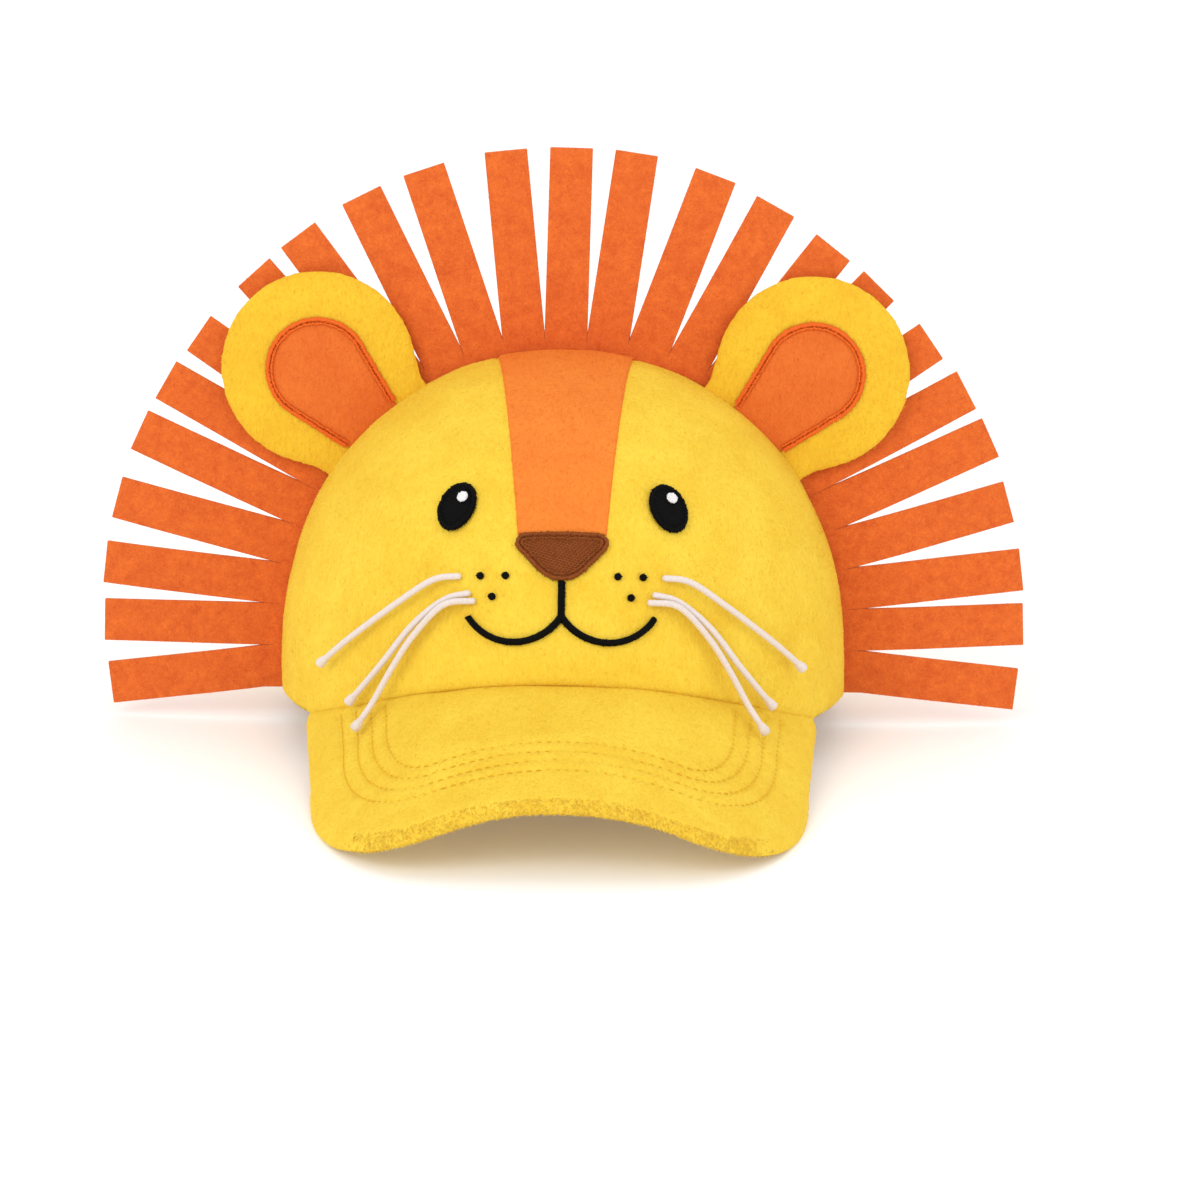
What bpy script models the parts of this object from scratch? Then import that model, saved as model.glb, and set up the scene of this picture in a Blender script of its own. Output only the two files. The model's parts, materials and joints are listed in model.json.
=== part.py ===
"""A child's lion party hat: a plush cap with a stitched peak, a felt mane, padded ears and a lion's face.

The hat is modelled in its own frame: the hem's plane is z = 0, the face looks along -Y and the mane's felt
lies in the plane y = 0, caught in the seam that joins the front of the crown to its back. An empty then
tips the hat back until it stands on the peak's front corners and the back of its hem.
Left and right are the sides of the hat as someone facing it sees them, -X and +X.
"""
import math

import bmesh
import bpy
from mathutils import Vector

MM = 0.001
CLEARANCE = 0.3 * MM
MERGE = 0.01 * MM

# Crown: an upright stretch above the hem, then a dome
CROWN_HALF_WIDTH = 77.0 * MM
CROWN_FRONT_DEPTH = 87.0 * MM
CROWN_BACK_DEPTH = 87.0 * MM
CROWN_STRAIGHT = 11.0 * MM
CROWN_DOME = 83.0 * MM
CROWN_FULLNESS = 2.12
CROWN_WALL = 2.5 * MM
CROWN_COLUMNS = 34
CROWN_ROWS = 13

# Mane: felt strips cut into a band, their tips on one circle
FELT = 1.5 * MM
MANE_BAND = 5.0 * MM
MANE_SIDE_REACH = 49.5 * MM
MANE_TOP_REACH = 55.0 * MM
STRIP_TIP_SHARE = 0.99
STRIP_STEPS = 3

# Each strip from the left hem over the top to the right hem: degrees above the horizontal, how far its
# tip leans to the back as a share of its length, and its length as a share of the way to the circle
STRIPS = (
    (-7.4, 0.05, 1.0), (0.9, 0.01, 0.99), (6.0, 0.07, 1.0), (14.7, 0.02, 0.99), (24.3, 0.05, 0.99),
    (29.4, 0.01, 0.98), (34.2, 0.04, 0.97), (47.4, 0.08, 0.97), (52.8, 0.03, 0.98), (63.1, 0.06, 0.99),
    (71.2, 0.01, 1.0), (84.0, 0.07, 1.0), (91.2, 0.02, 1.0), (98.2, 0.06, 1.0), (110.4, 0.01, 0.99),
    (118.7, 0.08, 0.96), (127.9, 0.03, 0.94), (134.0, 0.06, 0.94), (145.3, 0.01, 0.96), (151.8, 0.06, 0.98),
    (155.2, 0.02, 0.99), (164.1, 0.07, 0.98), (172.9, 0.01, 0.99), (177.9, 0.06, 1.0), (186.3, 0.03, 1.0),
)

# Peak: a stiff sheet bent to an arch and tipped down, its rim half round
PEAK_HALF_WIDTH = 68.3 * MM
PEAK_FRONT_HALF_WIDTH = 65.0 * MM
PEAK_REACH = 52.3 * MM
PEAK_BOW = 2.0 * MM
PEAK_CORNER_WIDTH = 33.0 * MM
PEAK_CORNER_LENGTH = 57.5 * MM
PEAK_THICKNESS = 4.5 * MM
PEAK_SEAM_RISE = 17.0 * MM
PEAK_SLOPE = math.radians(20.0)

# Ears: round pads with a narrower base on the crown
EAR_SEAT = math.radians(50.0)
EAR_STAND = 21.0 * MM
EAR_RADIUS = 27.2 * MM
EAR_BASE_HALF_WIDTH = 19.0 * MM
EAR_FRONT_BULGE = 6.5 * MM
EAR_BACK_BULGE = 1.5 * MM
INNER_EAR_RADIUS = 14.3 * MM
INNER_EAR_BASE_HALF_WIDTH = 9.6 * MM
INNER_EAR_BORDER = 2.1 * MM

# Patches and embroidery on the crown
PLUSH_PATCH = 0.9 * MM
STITCHING = 0.8 * MM
STRIPE_NOSE_HALF_WIDTH = 11.8 * MM
STRIPE_SEAM_HALF_WIDTH = 19.2 * MM
EYE_TURN = math.radians(23.0)
EYE_RISE = math.radians(35.0)
EYE_HALF_WIDTH = 5.3 * MM
EYE_HALF_HEIGHT = 7.0 * MM
EYE_TILT = math.radians(0.5)
HIGHLIGHT_RADIUS = 1.5 * MM
HIGHLIGHT_RIGHT = 1.3 * MM
HIGHLIGHT_UP = 2.4 * MM
NOSE_RISE = math.radians(26.2)
NOSE_HALF_WIDTH = 12.2 * MM
NOSE_HEIGHT = 13.0 * MM
NOSE_BORDER = 1.2 * MM
MOUTH_LINE = 1.9 * MM
MOUTH_DROP = 9.2 * MM
MOUTH_ARC_RADIUS = 15.2 * MM
MOUTH_ARC_HALF_SPAN = math.radians(58.0)
FRECKLE_RADIUS = 1.0 * MM

# Freckles of one cheek: degrees to the side, and degrees above the crown's centre
FRECKLES = ((15.2, 22.4), (10.4, 22.6), (12.6, 18.9))

# Whiskers: round cords with flared, heat-sealed ends
WHISKER_DIAMETER = 1.7 * MM
WHISKER_FLARE = 1.65
WHISKER_POINT_SPACING = 2.4

# Routes of the left whiskers from the face to the free end, in millimetres from the middle of the hem
WHISKER_ROUTES = {
    "upper": (
        (-26.1, -78.2, 44.2), (-33.4, -77.0, 42.8), (-42.7, -73.6, 36.2), (-54.0, -66.2, 26.6),
        (-59.4, -61.1, 21.4), (-63.0, -56.9, 17.5),
    ),
    "middle": (
        (-23.6, -80.9, 40.3), (-30.6, -80.2, 38.0), (-38.8, -77.8, 30.9), (-46.2, -74.3, 20.9),
        (-51.8, -70.1, 13.4), (-55.0, -67.0, 9.2),
    ),
    "lower": (
        (-22.4, -82.6, 38.5), (-30.6, -82.0, 37.0), (-38.4, -78.8, 28.4), (-43.9, -76.7, 19.6),
        (-48.6, -75.6, 10.8), (-51.4, -77.4, 6.6), (-52.8, -79.7, 4.9),
    ),
}

PLUSH_YELLOW = (0.96, 0.66, 0.03, 1.0)
PLUSH_ORANGE = (0.98, 0.24, 0.03, 1.0)
FELT_ORANGE = (0.83, 0.14, 0.02, 1.0)
THREAD_ORANGE = (0.72, 0.11, 0.01, 1.0)
THREAD_BROWN = (0.28, 0.08, 0.02, 1.0)
THREAD_BLACK = (0.01, 0.01, 0.01, 1.0)
THREAD_WHITE = (0.86, 0.82, 0.80, 1.0)

FELT_SIDE = FELT / 2 + CLEARANCE
CROWN_TOP = CROWN_STRAIGHT + CROWN_DOME
CROWN_CENTRE = Vector((0, -FELT_SIDE, CROWN_STRAIGHT))
CROWN_FRONT = FELT_SIDE + CROWN_FRONT_DEPTH
MANE_RADIUS = CROWN_HALF_WIDTH + MANE_SIDE_REACH
MANE_CENTRE_HEIGHT = CROWN_TOP + MANE_TOP_REACH - MANE_RADIUS


def material(name, colour, roughness):
    """A plain material of one colour."""
    finish = bpy.data.materials.get(name)
    if finish:
        return finish
    finish = bpy.data.materials.new(name)
    finish.use_nodes = True
    shader = finish.node_tree.nodes["Principled BSDF"]
    shader.inputs["Base Color"].default_value = colour
    shader.inputs["Roughness"].default_value = roughness
    shader.inputs["Metallic"].default_value = 0.0
    finish.diffuse_color = colour
    return finish


def plush_yellow():
    return material("plush_yellow", PLUSH_YELLOW, 0.95)


def plush_orange():
    return material("plush_orange", PLUSH_ORANGE, 0.95)


def finish_object(name, mesh, look, parent):
    """Put a finished mesh in the scene under its parent."""
    mesh.materials.append(look)
    mesh.shade_smooth()
    mesh.set_sharp_from_angle(angle=math.radians(40))
    piece = bpy.data.objects.new(name, mesh)
    piece.parent = parent
    bpy.context.collection.objects.link(piece)
    return piece


def skins_to_solid(name, outer, inner, ring, look, parent):
    """Close two skins, each a list of rows of points, into one solid.

    ring says that each row closes on itself. Points that coincide, as at a pole or a thin rim, are merged.
    """
    shape = bmesh.new()
    rows = len(outer)
    columns = len(outer[0])
    skins = [[[shape.verts.new(point) for point in row] for row in skin] for skin in (outer, inner)]

    def quad(*corners):
        shape.faces.new([skins[skin][row][column % columns] for skin, row, column in corners])

    steps = columns if ring else columns - 1
    for column in range(steps):
        for row in range(rows - 1):
            for skin in (0, 1):
                quad((skin, row, column), (skin, row, column + 1),
                     (skin, row + 1, column + 1), (skin, row + 1, column))
        for row in (0, rows - 1):
            quad((0, row, column), (0, row, column + 1), (1, row, column + 1), (1, row, column))
    if not ring:
        for row in range(rows - 1):
            for column in (0, columns - 1):
                quad((0, row, column), (0, row + 1, column), (1, row + 1, column), (1, row, column))
    bmesh.ops.remove_doubles(shape, verts=shape.verts, dist=MERGE)
    bmesh.ops.recalc_face_normals(shape, faces=shape.faces)
    mesh = bpy.data.meshes.new(name)
    shape.to_mesh(mesh)
    shape.free()
    return finish_object(name, mesh, look, parent)


def boolean(piece, operation, other):
    """Cut a piece with another, or join them."""
    change = piece.modifiers.new(operation.lower(), "BOOLEAN")
    change.operation = operation
    change.object = other
    change.solver = "EXACT"
    other.hide_render = True
    other.display_type = "WIRE"


def inset(points, distance, closed):
    """Shift an outline that runs anticlockwise inwards, each point square to its neighbours."""
    last = len(points) - 1
    shifted = []
    for index, point in enumerate(points):
        before = points[index - 1] if closed or index else point
        after = points[(index + 1) % len(points)] if closed or index < last else point
        along = (after - before).normalized()
        shifted.append(point + Vector((-along.y, along.x)) * distance)
    return shifted


def arc(centre, radius, start, end, steps):
    """Points on an arc, from one angle to another."""
    angles = [start + (end - start) * step / steps for step in range(steps + 1)]
    return [centre + Vector((math.cos(angle), math.sin(angle))) * radius for angle in angles]


def walk(points, distance):
    """The point that lies a given distance along a polyline."""
    for start, end in zip(points, points[1:]):
        stretch = (end - start).length
        if distance <= stretch:
            return start.lerp(end, distance / stretch)
        distance -= stretch
    return points[-1]


def path_length(points):
    return sum((end - start).length for start, end in zip(points, points[1:]))


def crown_profile(angle, dome):
    """Width share and height of the crown's outline: negative angles lie on the upright stretch."""
    if angle < 0:
        return 1.0, CROWN_STRAIGHT + angle * dome
    power = 2 / CROWN_FULLNESS
    return max(math.cos(angle), 0.0) ** power, CROWN_STRAIGHT + dome * math.sin(angle) ** power


def crown_profile_angle(height, dome):
    """The angle at which the crown's outline has a given height."""
    share = (height - CROWN_STRAIGHT) / dome
    return share if share < 0 else math.asin(share ** (CROWN_FULLNESS / 2))


def crown_skin(point, lift):
    """The point of the crown's front that lies towards a given point, lifted square to the skin."""
    arm = point - CROWN_CENTRE
    rise = max(arm.z, 0.0) / CROWN_DOME
    spread = math.hypot(arm.x / CROWN_HALF_WIDTH, arm.y / CROWN_FRONT_DEPTH)
    reach = (spread ** CROWN_FULLNESS + rise ** CROWN_FULLNESS) ** (1 / CROWN_FULLNESS)
    on_skin = Vector((arm.x / reach, arm.y / reach, arm.z / reach if arm.z > 0 else arm.z))
    spread_weight = (spread / reach) ** (CROWN_FULLNESS - 2)
    normal = Vector((
        on_skin.x / CROWN_HALF_WIDTH ** 2 * spread_weight,
        on_skin.y / CROWN_FRONT_DEPTH ** 2 * spread_weight,
        (rise / reach) ** (CROWN_FULLNESS - 1) / CROWN_DOME,
    )).normalized()
    return CROWN_CENTRE + on_skin + normal * lift


def crown_spot(turn, rise):
    """A frame on the crown's front skin: its point, and its directions to the right and up the skin."""
    towards = Vector((math.sin(turn) * math.cos(rise), -math.cos(turn) * math.cos(rise), math.sin(rise)))
    spot = crown_skin(CROWN_CENTRE + towards * CROWN_DOME, 0.0)
    normal = (crown_skin(spot, MM) - spot).normalized()
    up = (Vector((0, 0, 1)) - normal * normal.z).normalized()
    return spot, up.cross(normal), up


def peak_sag(x):
    """How far the bent peak falls below its middle, square to its sheet."""
    corner_x = PEAK_HALF_WIDTH
    corner_y = CROWN_FRONT_DEPTH * math.sqrt(1 - (corner_x / CROWN_HALF_WIDTH) ** 2)
    climb = (CROWN_FRONT_DEPTH - corner_y) * math.tan(PEAK_SLOPE)
    corner_sag = (PEAK_SEAM_RISE + climb) * math.cos(PEAK_SLOPE)
    bend_radius = (corner_x ** 2 + corner_sag ** 2) / (2 * corner_sag)
    return bend_radius - math.sqrt(bend_radius ** 2 - x ** 2)


def peak_point(x, y, below):
    """A point on the peak's sheet over a place in plan, or below its upper face."""
    ahead = -y - CROWN_FRONT
    top = PEAK_SEAM_RISE - CLEARANCE - ahead * math.tan(PEAK_SLOPE) - peak_sag(x) / math.cos(PEAK_SLOPE)
    return Vector((x, y, top - below / math.cos(PEAK_SLOPE)))


def front_hem(x, y):
    """The front hem sits on the peak, and beside the peak it is level."""
    return peak_point(x, y, 0).z + CLEARANCE if abs(x) < PEAK_HALF_WIDTH else 0.0


def crown_half(name, front, parent):
    """One half of the crown, a wall that starts flat against the mane's felt."""
    facing = -1 if front else 1
    depth = CROWN_FRONT_DEPTH if front else CROWN_BACK_DEPTH
    skins = []
    for wall in (0, CROWN_WALL):
        half_width = CROWN_HALF_WIDTH - wall
        dome = CROWN_DOME - wall
        columns = []
        for column in range(CROWN_COLUMNS + 1):
            turn = math.pi * column / CROWN_COLUMNS
            x = half_width * math.cos(turn)
            y = facing * (FELT_SIDE + (depth - wall) * math.sin(turn))
            hem = crown_profile_angle(front_hem(x, y) if front else 0.0, dome)
            angles = [hem + (math.pi / 2 - hem) * row / CROWN_ROWS for row in range(CROWN_ROWS + 1)]
            profile = [crown_profile(angle, dome) for angle in angles]
            columns.append([
                Vector((x * share, facing * FELT_SIDE + (y - facing * FELT_SIDE) * share, height))
                for share, height in profile
            ])
        skins.append([list(row) for row in zip(*columns)])
    return skins_to_solid(name, skins[0], skins[1], False, plush_yellow(), parent)


def peak_outline():
    """The peak's free edge in plan, from the left corner round the front to the right corner.

    Each point holds its place across and how far it lies ahead of the crown.
    """
    corner_depth = CROWN_FRONT_DEPTH * math.sqrt(1 - (PEAK_HALF_WIDTH / CROWN_HALF_WIDTH) ** 2)
    corner_point = Vector((PEAK_HALF_WIDTH, corner_depth - CROWN_FRONT_DEPTH))
    front = PEAK_REACH - PEAK_BOW
    turn_centre = Vector((PEAK_FRONT_HALF_WIDTH - PEAK_CORNER_WIDTH, front - PEAK_CORNER_LENGTH))
    side_end = turn_centre + Vector((PEAK_CORNER_WIDTH, 0))
    half = [corner_point.lerp(side_end, step / 5) for step in range(5)]
    quarter = arc(Vector((0, 0)), 1, 0, math.pi / 2, 10)
    corner = Vector((PEAK_CORNER_WIDTH, PEAK_CORNER_LENGTH))
    half += [turn_centre + way * corner for way in quarter]
    half += [Vector((turn_centre.x * (1 - step / 4), front)) for step in range(1, 5)]
    for point in half:
        if point.y > 0:
            point.y += PEAK_BOW * (1 - (point.x / PEAK_FRONT_HALF_WIDTH) ** 2)
    return [Vector((-point.x, point.y)) for point in half[:-1]] + half[::-1]


def peak(parent):
    """The stiff peak, its inner edge under the front hem."""
    outline = peak_outline()
    corner_turn = math.acos(PEAK_HALF_WIDTH / CROWN_HALF_WIDTH)
    half_thickness = PEAK_THICKNESS / 2
    columns = []
    covered = 0.0
    total = path_length(outline)
    for index, point in enumerate(outline):
        covered += (point - outline[index - 1]).length if index else 0.0
        turn = math.pi - corner_turn - (math.pi - 2 * corner_turn) * covered / total
        inner = Vector((
            (CROWN_HALF_WIDTH - CROWN_WALL) * math.cos(turn),
            -FELT_SIDE - (CROWN_FRONT_DEPTH - CROWN_WALL) * math.sin(turn),
        ))
        outer = Vector((point.x, -CROWN_FRONT - point.y))
        reach = (outer - inner).length
        rim = min(half_thickness, reach / 2)
        insets = [reach + (rim - reach) * share for share in (0.0, 0.25, 0.5, 0.75)]
        insets += [rim * share for share in (1.0, 0.5, 0.15, 0.0)]
        column = []
        for distance in insets:
            near_rim = min(distance / rim, 1.0) * half_thickness
            half = math.sqrt(half_thickness ** 2 - (half_thickness - near_rim) ** 2)
            place = outer.lerp(inner, distance / reach)
            column.append((
                peak_point(place.x, place.y, half_thickness - half),
                peak_point(place.x, place.y, half_thickness + half),
            ))
        columns.append(column)
    rows = list(zip(*columns))
    upper = [[pair[0] for pair in row] for row in rows]
    lower = [[pair[1] for pair in row] for row in rows]
    return skins_to_solid("peak", upper, lower, False, plush_yellow(), parent)


def crown_arch(offset):
    """The crown's outline in the mane's plane, from the left hem over the top to the right hem."""
    start = crown_profile_angle(0.0, CROWN_DOME)
    angles = [start + (math.pi / 2 - start) * step / 60 for step in range(61)]
    right = []
    for angle in angles:
        share, height = crown_profile(angle, CROWN_DOME)
        right.append(Vector((CROWN_HALF_WIDTH * share, height)))
    arch = [Vector((-point.x, point.y)) for point in right[:-1]] + right[::-1]
    return inset(arch, offset, False)


def mane(parent):
    """The felt band and the strips that are cut into it, in one piece."""
    inner_arch = crown_arch(-CROWN_WALL)
    slit_arch = crown_arch(MANE_BAND)
    centre = Vector((0, MANE_CENTRE_HEIGHT))
    spacing = path_length(slit_arch) / len(STRIPS)
    inner_spacing = path_length(inner_arch) / len(STRIPS)
    shape = bmesh.new()

    def face_pair(place, lean):
        return [shape.verts.new((place.x, lean + side * FELT / 2, place.y)) for side in (-1, 1)]

    for index, (degrees, lean_share, length_share) in enumerate(STRIPS):
        angle = math.pi - math.radians(degrees)
        along = Vector((math.cos(angle), math.sin(angle)))
        across = Vector((along.y, -along.x))
        roots = [walk(slit_arch, spacing * (index + side)) for side in (0, 1)]
        inners = [walk(inner_arch, inner_spacing * (index + side)) for side in (0, 1)]
        root = (roots[0] + roots[1]) / 2
        arm = root - centre
        outward = arm.dot(along)
        reach = (math.sqrt(outward ** 2 - arm.length_squared + MANE_RADIUS ** 2) - outward) * length_share
        tips = [root + along * reach + across * side * spacing * STRIP_TIP_SHARE / 2 for side in (-1, 1)]
        rows = [[face_pair(place, 0) for place in inners], [face_pair(place, 0) for place in roots]]
        for step in range(1, STRIP_STEPS + 1):
            share = step / STRIP_STEPS
            lean = lean_share * reach * share ** 2
            rows.append([face_pair(start.lerp(end, share), lean) for start, end in zip(roots, tips)])
        for row, after in zip(rows, rows[1:]):
            for side in (0, 1):
                shape.faces.new((row[0][side], row[1][side], after[1][side], after[0][side]))
        for row, after in zip(rows[1:], rows[2:]):
            for edge in (0, 1):
                shape.faces.new((row[edge][0], row[edge][1], after[edge][1], after[edge][0]))
        for end in (rows[0], rows[-1]):
            shape.faces.new((end[0][0], end[0][1], end[1][1], end[1][0]))
        if index in (0, len(STRIPS) - 1):
            edge = 0 if index == 0 else 1
            shape.faces.new((rows[0][edge][0], rows[0][edge][1], rows[1][edge][1], rows[1][edge][0]))
    bmesh.ops.remove_doubles(shape, verts=shape.verts, dist=MERGE)
    bmesh.ops.recalc_face_normals(shape, faces=shape.faces)
    mesh = bpy.data.meshes.new("mane")
    shape.to_mesh(mesh)
    shape.free()
    return finish_object("mane", mesh, material("felt_orange", FELT_ORANGE, 1.0), parent)


def crown_cutter(parent):
    """The crown's front as a full solid, a clearance larger, which trims what seats on it."""
    rows = []
    angles = [math.pi / 2 * row / CROWN_ROWS for row in range(CROWN_ROWS + 1)]
    profile = [crown_profile(angle, CROWN_DOME + CLEARANCE) for angle in angles]
    for share, height in [(1.0, -CROWN_DOME)] + profile:
        row = []
        for column in range(CROWN_COLUMNS * 2):
            turn = math.pi * column / CROWN_COLUMNS
            row.append(Vector((
                (CROWN_HALF_WIDTH + CLEARANCE) * share * math.cos(turn),
                -FELT_SIDE - (CROWN_FRONT_DEPTH + CLEARANCE) * share * math.sin(turn),
                height,
            )))
        rows.append(row)
    floor = [[Vector((0, -FELT_SIDE, -CROWN_DOME))] * (CROWN_COLUMNS * 2)] * len(rows)
    return skins_to_solid("crown_cutter", rows, floor, True, plush_yellow(), parent)


def ear_outline(radius, base_half_width):
    """An ear's outline about its centre, with the crown below: base corner, round top, base corner."""
    base = Vector((base_half_width, -EAR_STAND))
    tangent = math.atan2(base.y, base.x) + math.acos(min(1.0, radius / max(base.length, radius)))
    top = arc(Vector((0, 0)), radius, tangent, math.pi - tangent, 20)
    root = Vector((base_half_width, -EAR_STAND - CROWN_WALL * 2))
    return [root, base] + top + [Vector((-base.x, base.y)), Vector((-root.x, root.y))]


def ear_place(side):
    """An ear's centre, and its directions across the ear and away from the crown."""
    away_of_middle = Vector((math.cos(EAR_SEAT), math.sin(EAR_SEAT)))
    spread = away_of_middle.x / CROWN_HALF_WIDTH
    rise = away_of_middle.y / CROWN_DOME
    reach = (spread ** CROWN_FULLNESS + rise ** CROWN_FULLNESS) ** (-1 / CROWN_FULLNESS)
    seat = away_of_middle * reach + Vector((0, CROWN_STRAIGHT))
    away = Vector((
        spread ** (CROWN_FULLNESS - 1) / CROWN_HALF_WIDTH,
        rise ** (CROWN_FULLNESS - 1) / CROWN_DOME,
    )).normalized()
    centre = seat + away * EAR_STAND
    across = Vector((away.y, -side * away.x))
    return Vector((side * centre.x, centre.y)), across, Vector((side * away.x, away.y))


def ear_face(outline, local, lift):
    """Depth of the ear's padded front at a place on it."""
    nearest = min((local - (start + end) / 2).length for start, end in zip(outline, outline[1:]))
    share = max(0.0, 1 - nearest / EAR_RADIUS)
    return -FELT_SIDE - EAR_BACK_BULGE - EAR_FRONT_BULGE * (1 - share ** 2.5) ** 0.5 - lift


def ear_point(side, local, depth):
    centre, across, away = ear_place(side)
    place = centre + across * local.x + away * local.y
    return Vector((place.x, depth, place.y))


def ear(name, side, cutter, parent):
    """A padded ear, flat behind where it lies on the mane and full in front."""
    outline = ear_outline(EAR_RADIUS, EAR_BASE_HALF_WIDTH)
    front = []
    back = []
    for share in (0.0, 0.3, 0.6, 0.8, 0.92, 1.0):
        full = (1 - share ** 4) ** 0.5
        ring = [point * share for point in outline]
        front.append([ear_point(side, place, ear_face(outline, place, 0) if share < 1 else
                                -FELT_SIDE - EAR_BACK_BULGE) for place in ring])
        back.append([ear_point(side, place, -FELT_SIDE - EAR_BACK_BULGE * (1 - full)) for place in ring])
    piece = skins_to_solid(name, front, back, True, plush_yellow(), parent)
    boolean(piece, "DIFFERENCE", cutter)
    return piece


def inner_ear(name, side, cutter, parent):
    """The orange patch inside its border."""
    ear_edge = ear_outline(EAR_RADIUS, EAR_BASE_HALF_WIDTH)
    whole = ear_outline(INNER_EAR_RADIUS, INNER_EAR_BASE_HALF_WIDTH)
    outline = inset(whole, INNER_EAR_BORDER + CLEARANCE, False)
    front = []
    back = []
    for share in (0.0, 0.4, 0.75, 1.0):
        ring = [point * share for point in outline]
        for skin, lift in ((front, CLEARANCE + PLUSH_PATCH), (back, CLEARANCE)):
            skin.append([ear_point(side, place, ear_face(ear_edge, place, lift)) for place in ring])
    piece = skins_to_solid(name, front, back, True, plush_orange(), parent)
    boolean(piece, "DIFFERENCE", cutter)
    return piece


def inner_ear_border(name, side, cutter, parent):
    """The satin-stitched border round the orange patch, open towards the crown."""
    ear_edge = ear_outline(EAR_RADIUS, EAR_BASE_HALF_WIDTH)
    whole = ear_outline(INNER_EAR_RADIUS, INNER_EAR_BASE_HALF_WIDTH)
    front = []
    back = []
    for share, height in ((0.0, 0.5), (0.5, 1.0), (1.0, 0.5)):
        line = inset(whole, INNER_EAR_BORDER * share, False)
        lift = CLEARANCE + STITCHING * height
        front.append([ear_point(side, place, ear_face(ear_edge, place, lift)) for place in line])
        back.append([ear_point(side, place, ear_face(ear_edge, place, CLEARANCE)) for place in line])
    look = material("thread_orange", THREAD_ORANGE, 0.5)
    piece = skins_to_solid(name, front, back, False, look, parent)
    boolean(piece, "DIFFERENCE", cutter)
    return piece


def forehead_stripe(parent):
    """The stripe from the nose's upper edge to the seam, wider at the seam."""
    nose_top = nose_spot_rise(NOSE_HEIGHT / 2 + CLEARANCE)
    front = []
    back = []
    for step in range(11):
        rise = nose_top + (math.pi / 2 - nose_top) * step / 10
        half_width = STRIPE_NOSE_HALF_WIDTH + (STRIPE_SEAM_HALF_WIDTH - STRIPE_NOSE_HALF_WIDTH) * step / 10
        middle = crown_spot(0.0, rise)[0]
        row = [middle + Vector((half_width * share, 0, 0)) for share in (-1, -0.5, 0, 0.5, 1)]
        front.append([crown_skin(point, CLEARANCE + PLUSH_PATCH) for point in row])
        back.append([crown_skin(point, CLEARANCE) for point in row])
    return skins_to_solid("forehead_stripe", front, back, False, plush_orange(), parent)


def nose_spot_rise(distance):
    """The rise of the place on the face that lies a distance up the skin from the nose's middle."""
    spot, _, up = crown_spot(0.0, NOSE_RISE)
    arm = crown_skin(spot + up * distance, 0.0) - CROWN_CENTRE
    return math.atan2(arm.z, -arm.y)


def on_face(spot, local, lift):
    """A flat drawing's point, laid on the face round a spot."""
    place, right, up = spot
    return crown_skin(place + right * local.x + up * local.y, lift)


def face_patch(name, spot, outline, base, thickness, look, parent):
    """A stitched patch on the face, filled from its middle to its outline and lower along its rim."""
    rings = ((0.0, 1.0), (0.55, 1.0), (0.85, 0.85), (1.0, 0.45))
    front = [[on_face(spot, point * share, base + thickness * height) for point in outline]
             for share, height in rings]
    back = [[on_face(spot, point * share, base) for point in outline] for share, _ in rings]
    return skins_to_solid(name, front, back, True, look, parent)


def face_band(name, spot, outer, inner, closed, look, parent):
    """A satin-stitched band between two lines on the face, raised along its middle."""
    shares = ((0.0, 0.45), (0.5, 1.0), (1.0, 0.45))
    lines = [[start.lerp(end, share) for start, end in zip(outer, inner)] for share, _ in shares]
    front = [[on_face(spot, point, CLEARANCE + STITCHING * height) for point in line]
             for line, (_, height) in zip(lines, shares)]
    back = [[on_face(spot, point, CLEARANCE) for point in line] for line in lines]
    return skins_to_solid(name, front, back, closed, look, parent)


def eye(side, parent):
    """A black oval that leans towards the middle of the face, and its round highlight."""
    name = "left" if side < 0 else "right"
    spot = crown_spot(side * EYE_TURN, EYE_RISE)
    lean = side * EYE_TILT
    outline = []
    for step in range(20):
        angle = 2 * math.pi * step / 20
        across = EYE_HALF_WIDTH * math.cos(angle)
        up = EYE_HALF_HEIGHT * math.sin(angle)
        outline.append(Vector((
            across * math.cos(lean) - up * math.sin(lean),
            across * math.sin(lean) + up * math.cos(lean),
        )))
    black = material("thread_black", THREAD_BLACK, 0.4)
    face_patch(f"eye_{name}", spot, outline, CLEARANCE, STITCHING, black, parent)
    place, right, up = spot
    glint = crown_skin(place + right * HIGHLIGHT_RIGHT + up * HIGHLIGHT_UP, 0.0)
    white = material("thread_white", THREAD_WHITE, 0.5)
    circle = arc(Vector((0, 0)), HIGHLIGHT_RADIUS, 0, 2 * math.pi, 12)[:-1]
    base = CLEARANCE + STITCHING + CLEARANCE
    face_patch(f"eye_highlight_{name}", (glint, right, up), circle, base, STITCHING / 2, white, parent)


def nose_outline():
    """A triangle with round corners, wide at the top, running anticlockwise."""
    top = NOSE_HEIGHT / 2
    upper_radius = NOSE_HEIGHT * 0.2
    lower_radius = NOSE_HEIGHT * 0.62
    upper = Vector((NOSE_HALF_WIDTH - upper_radius, top - upper_radius))
    lower = Vector((0, lower_radius - top))
    drop = upper - lower
    side = -math.atan2(drop.x, drop.y) + math.asin((lower_radius - upper_radius) / drop.length)
    right = arc(upper, upper_radius, side, math.pi / 2, 4)
    left = [Vector((-point.x, point.y)) for point in reversed(right)]
    tip = arc(lower, lower_radius, -math.pi - side, side, 6)
    between = [tip[-1].lerp(right[0], share) for share in (0.33, 0.67)]
    mirrored = [Vector((-point.x, point.y)) for point in reversed(between)]
    brow = [right[-1].lerp(left[0], share) for share in (0.25, 0.5, 0.75)]
    return right + brow + left + mirrored + tip + between


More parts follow.
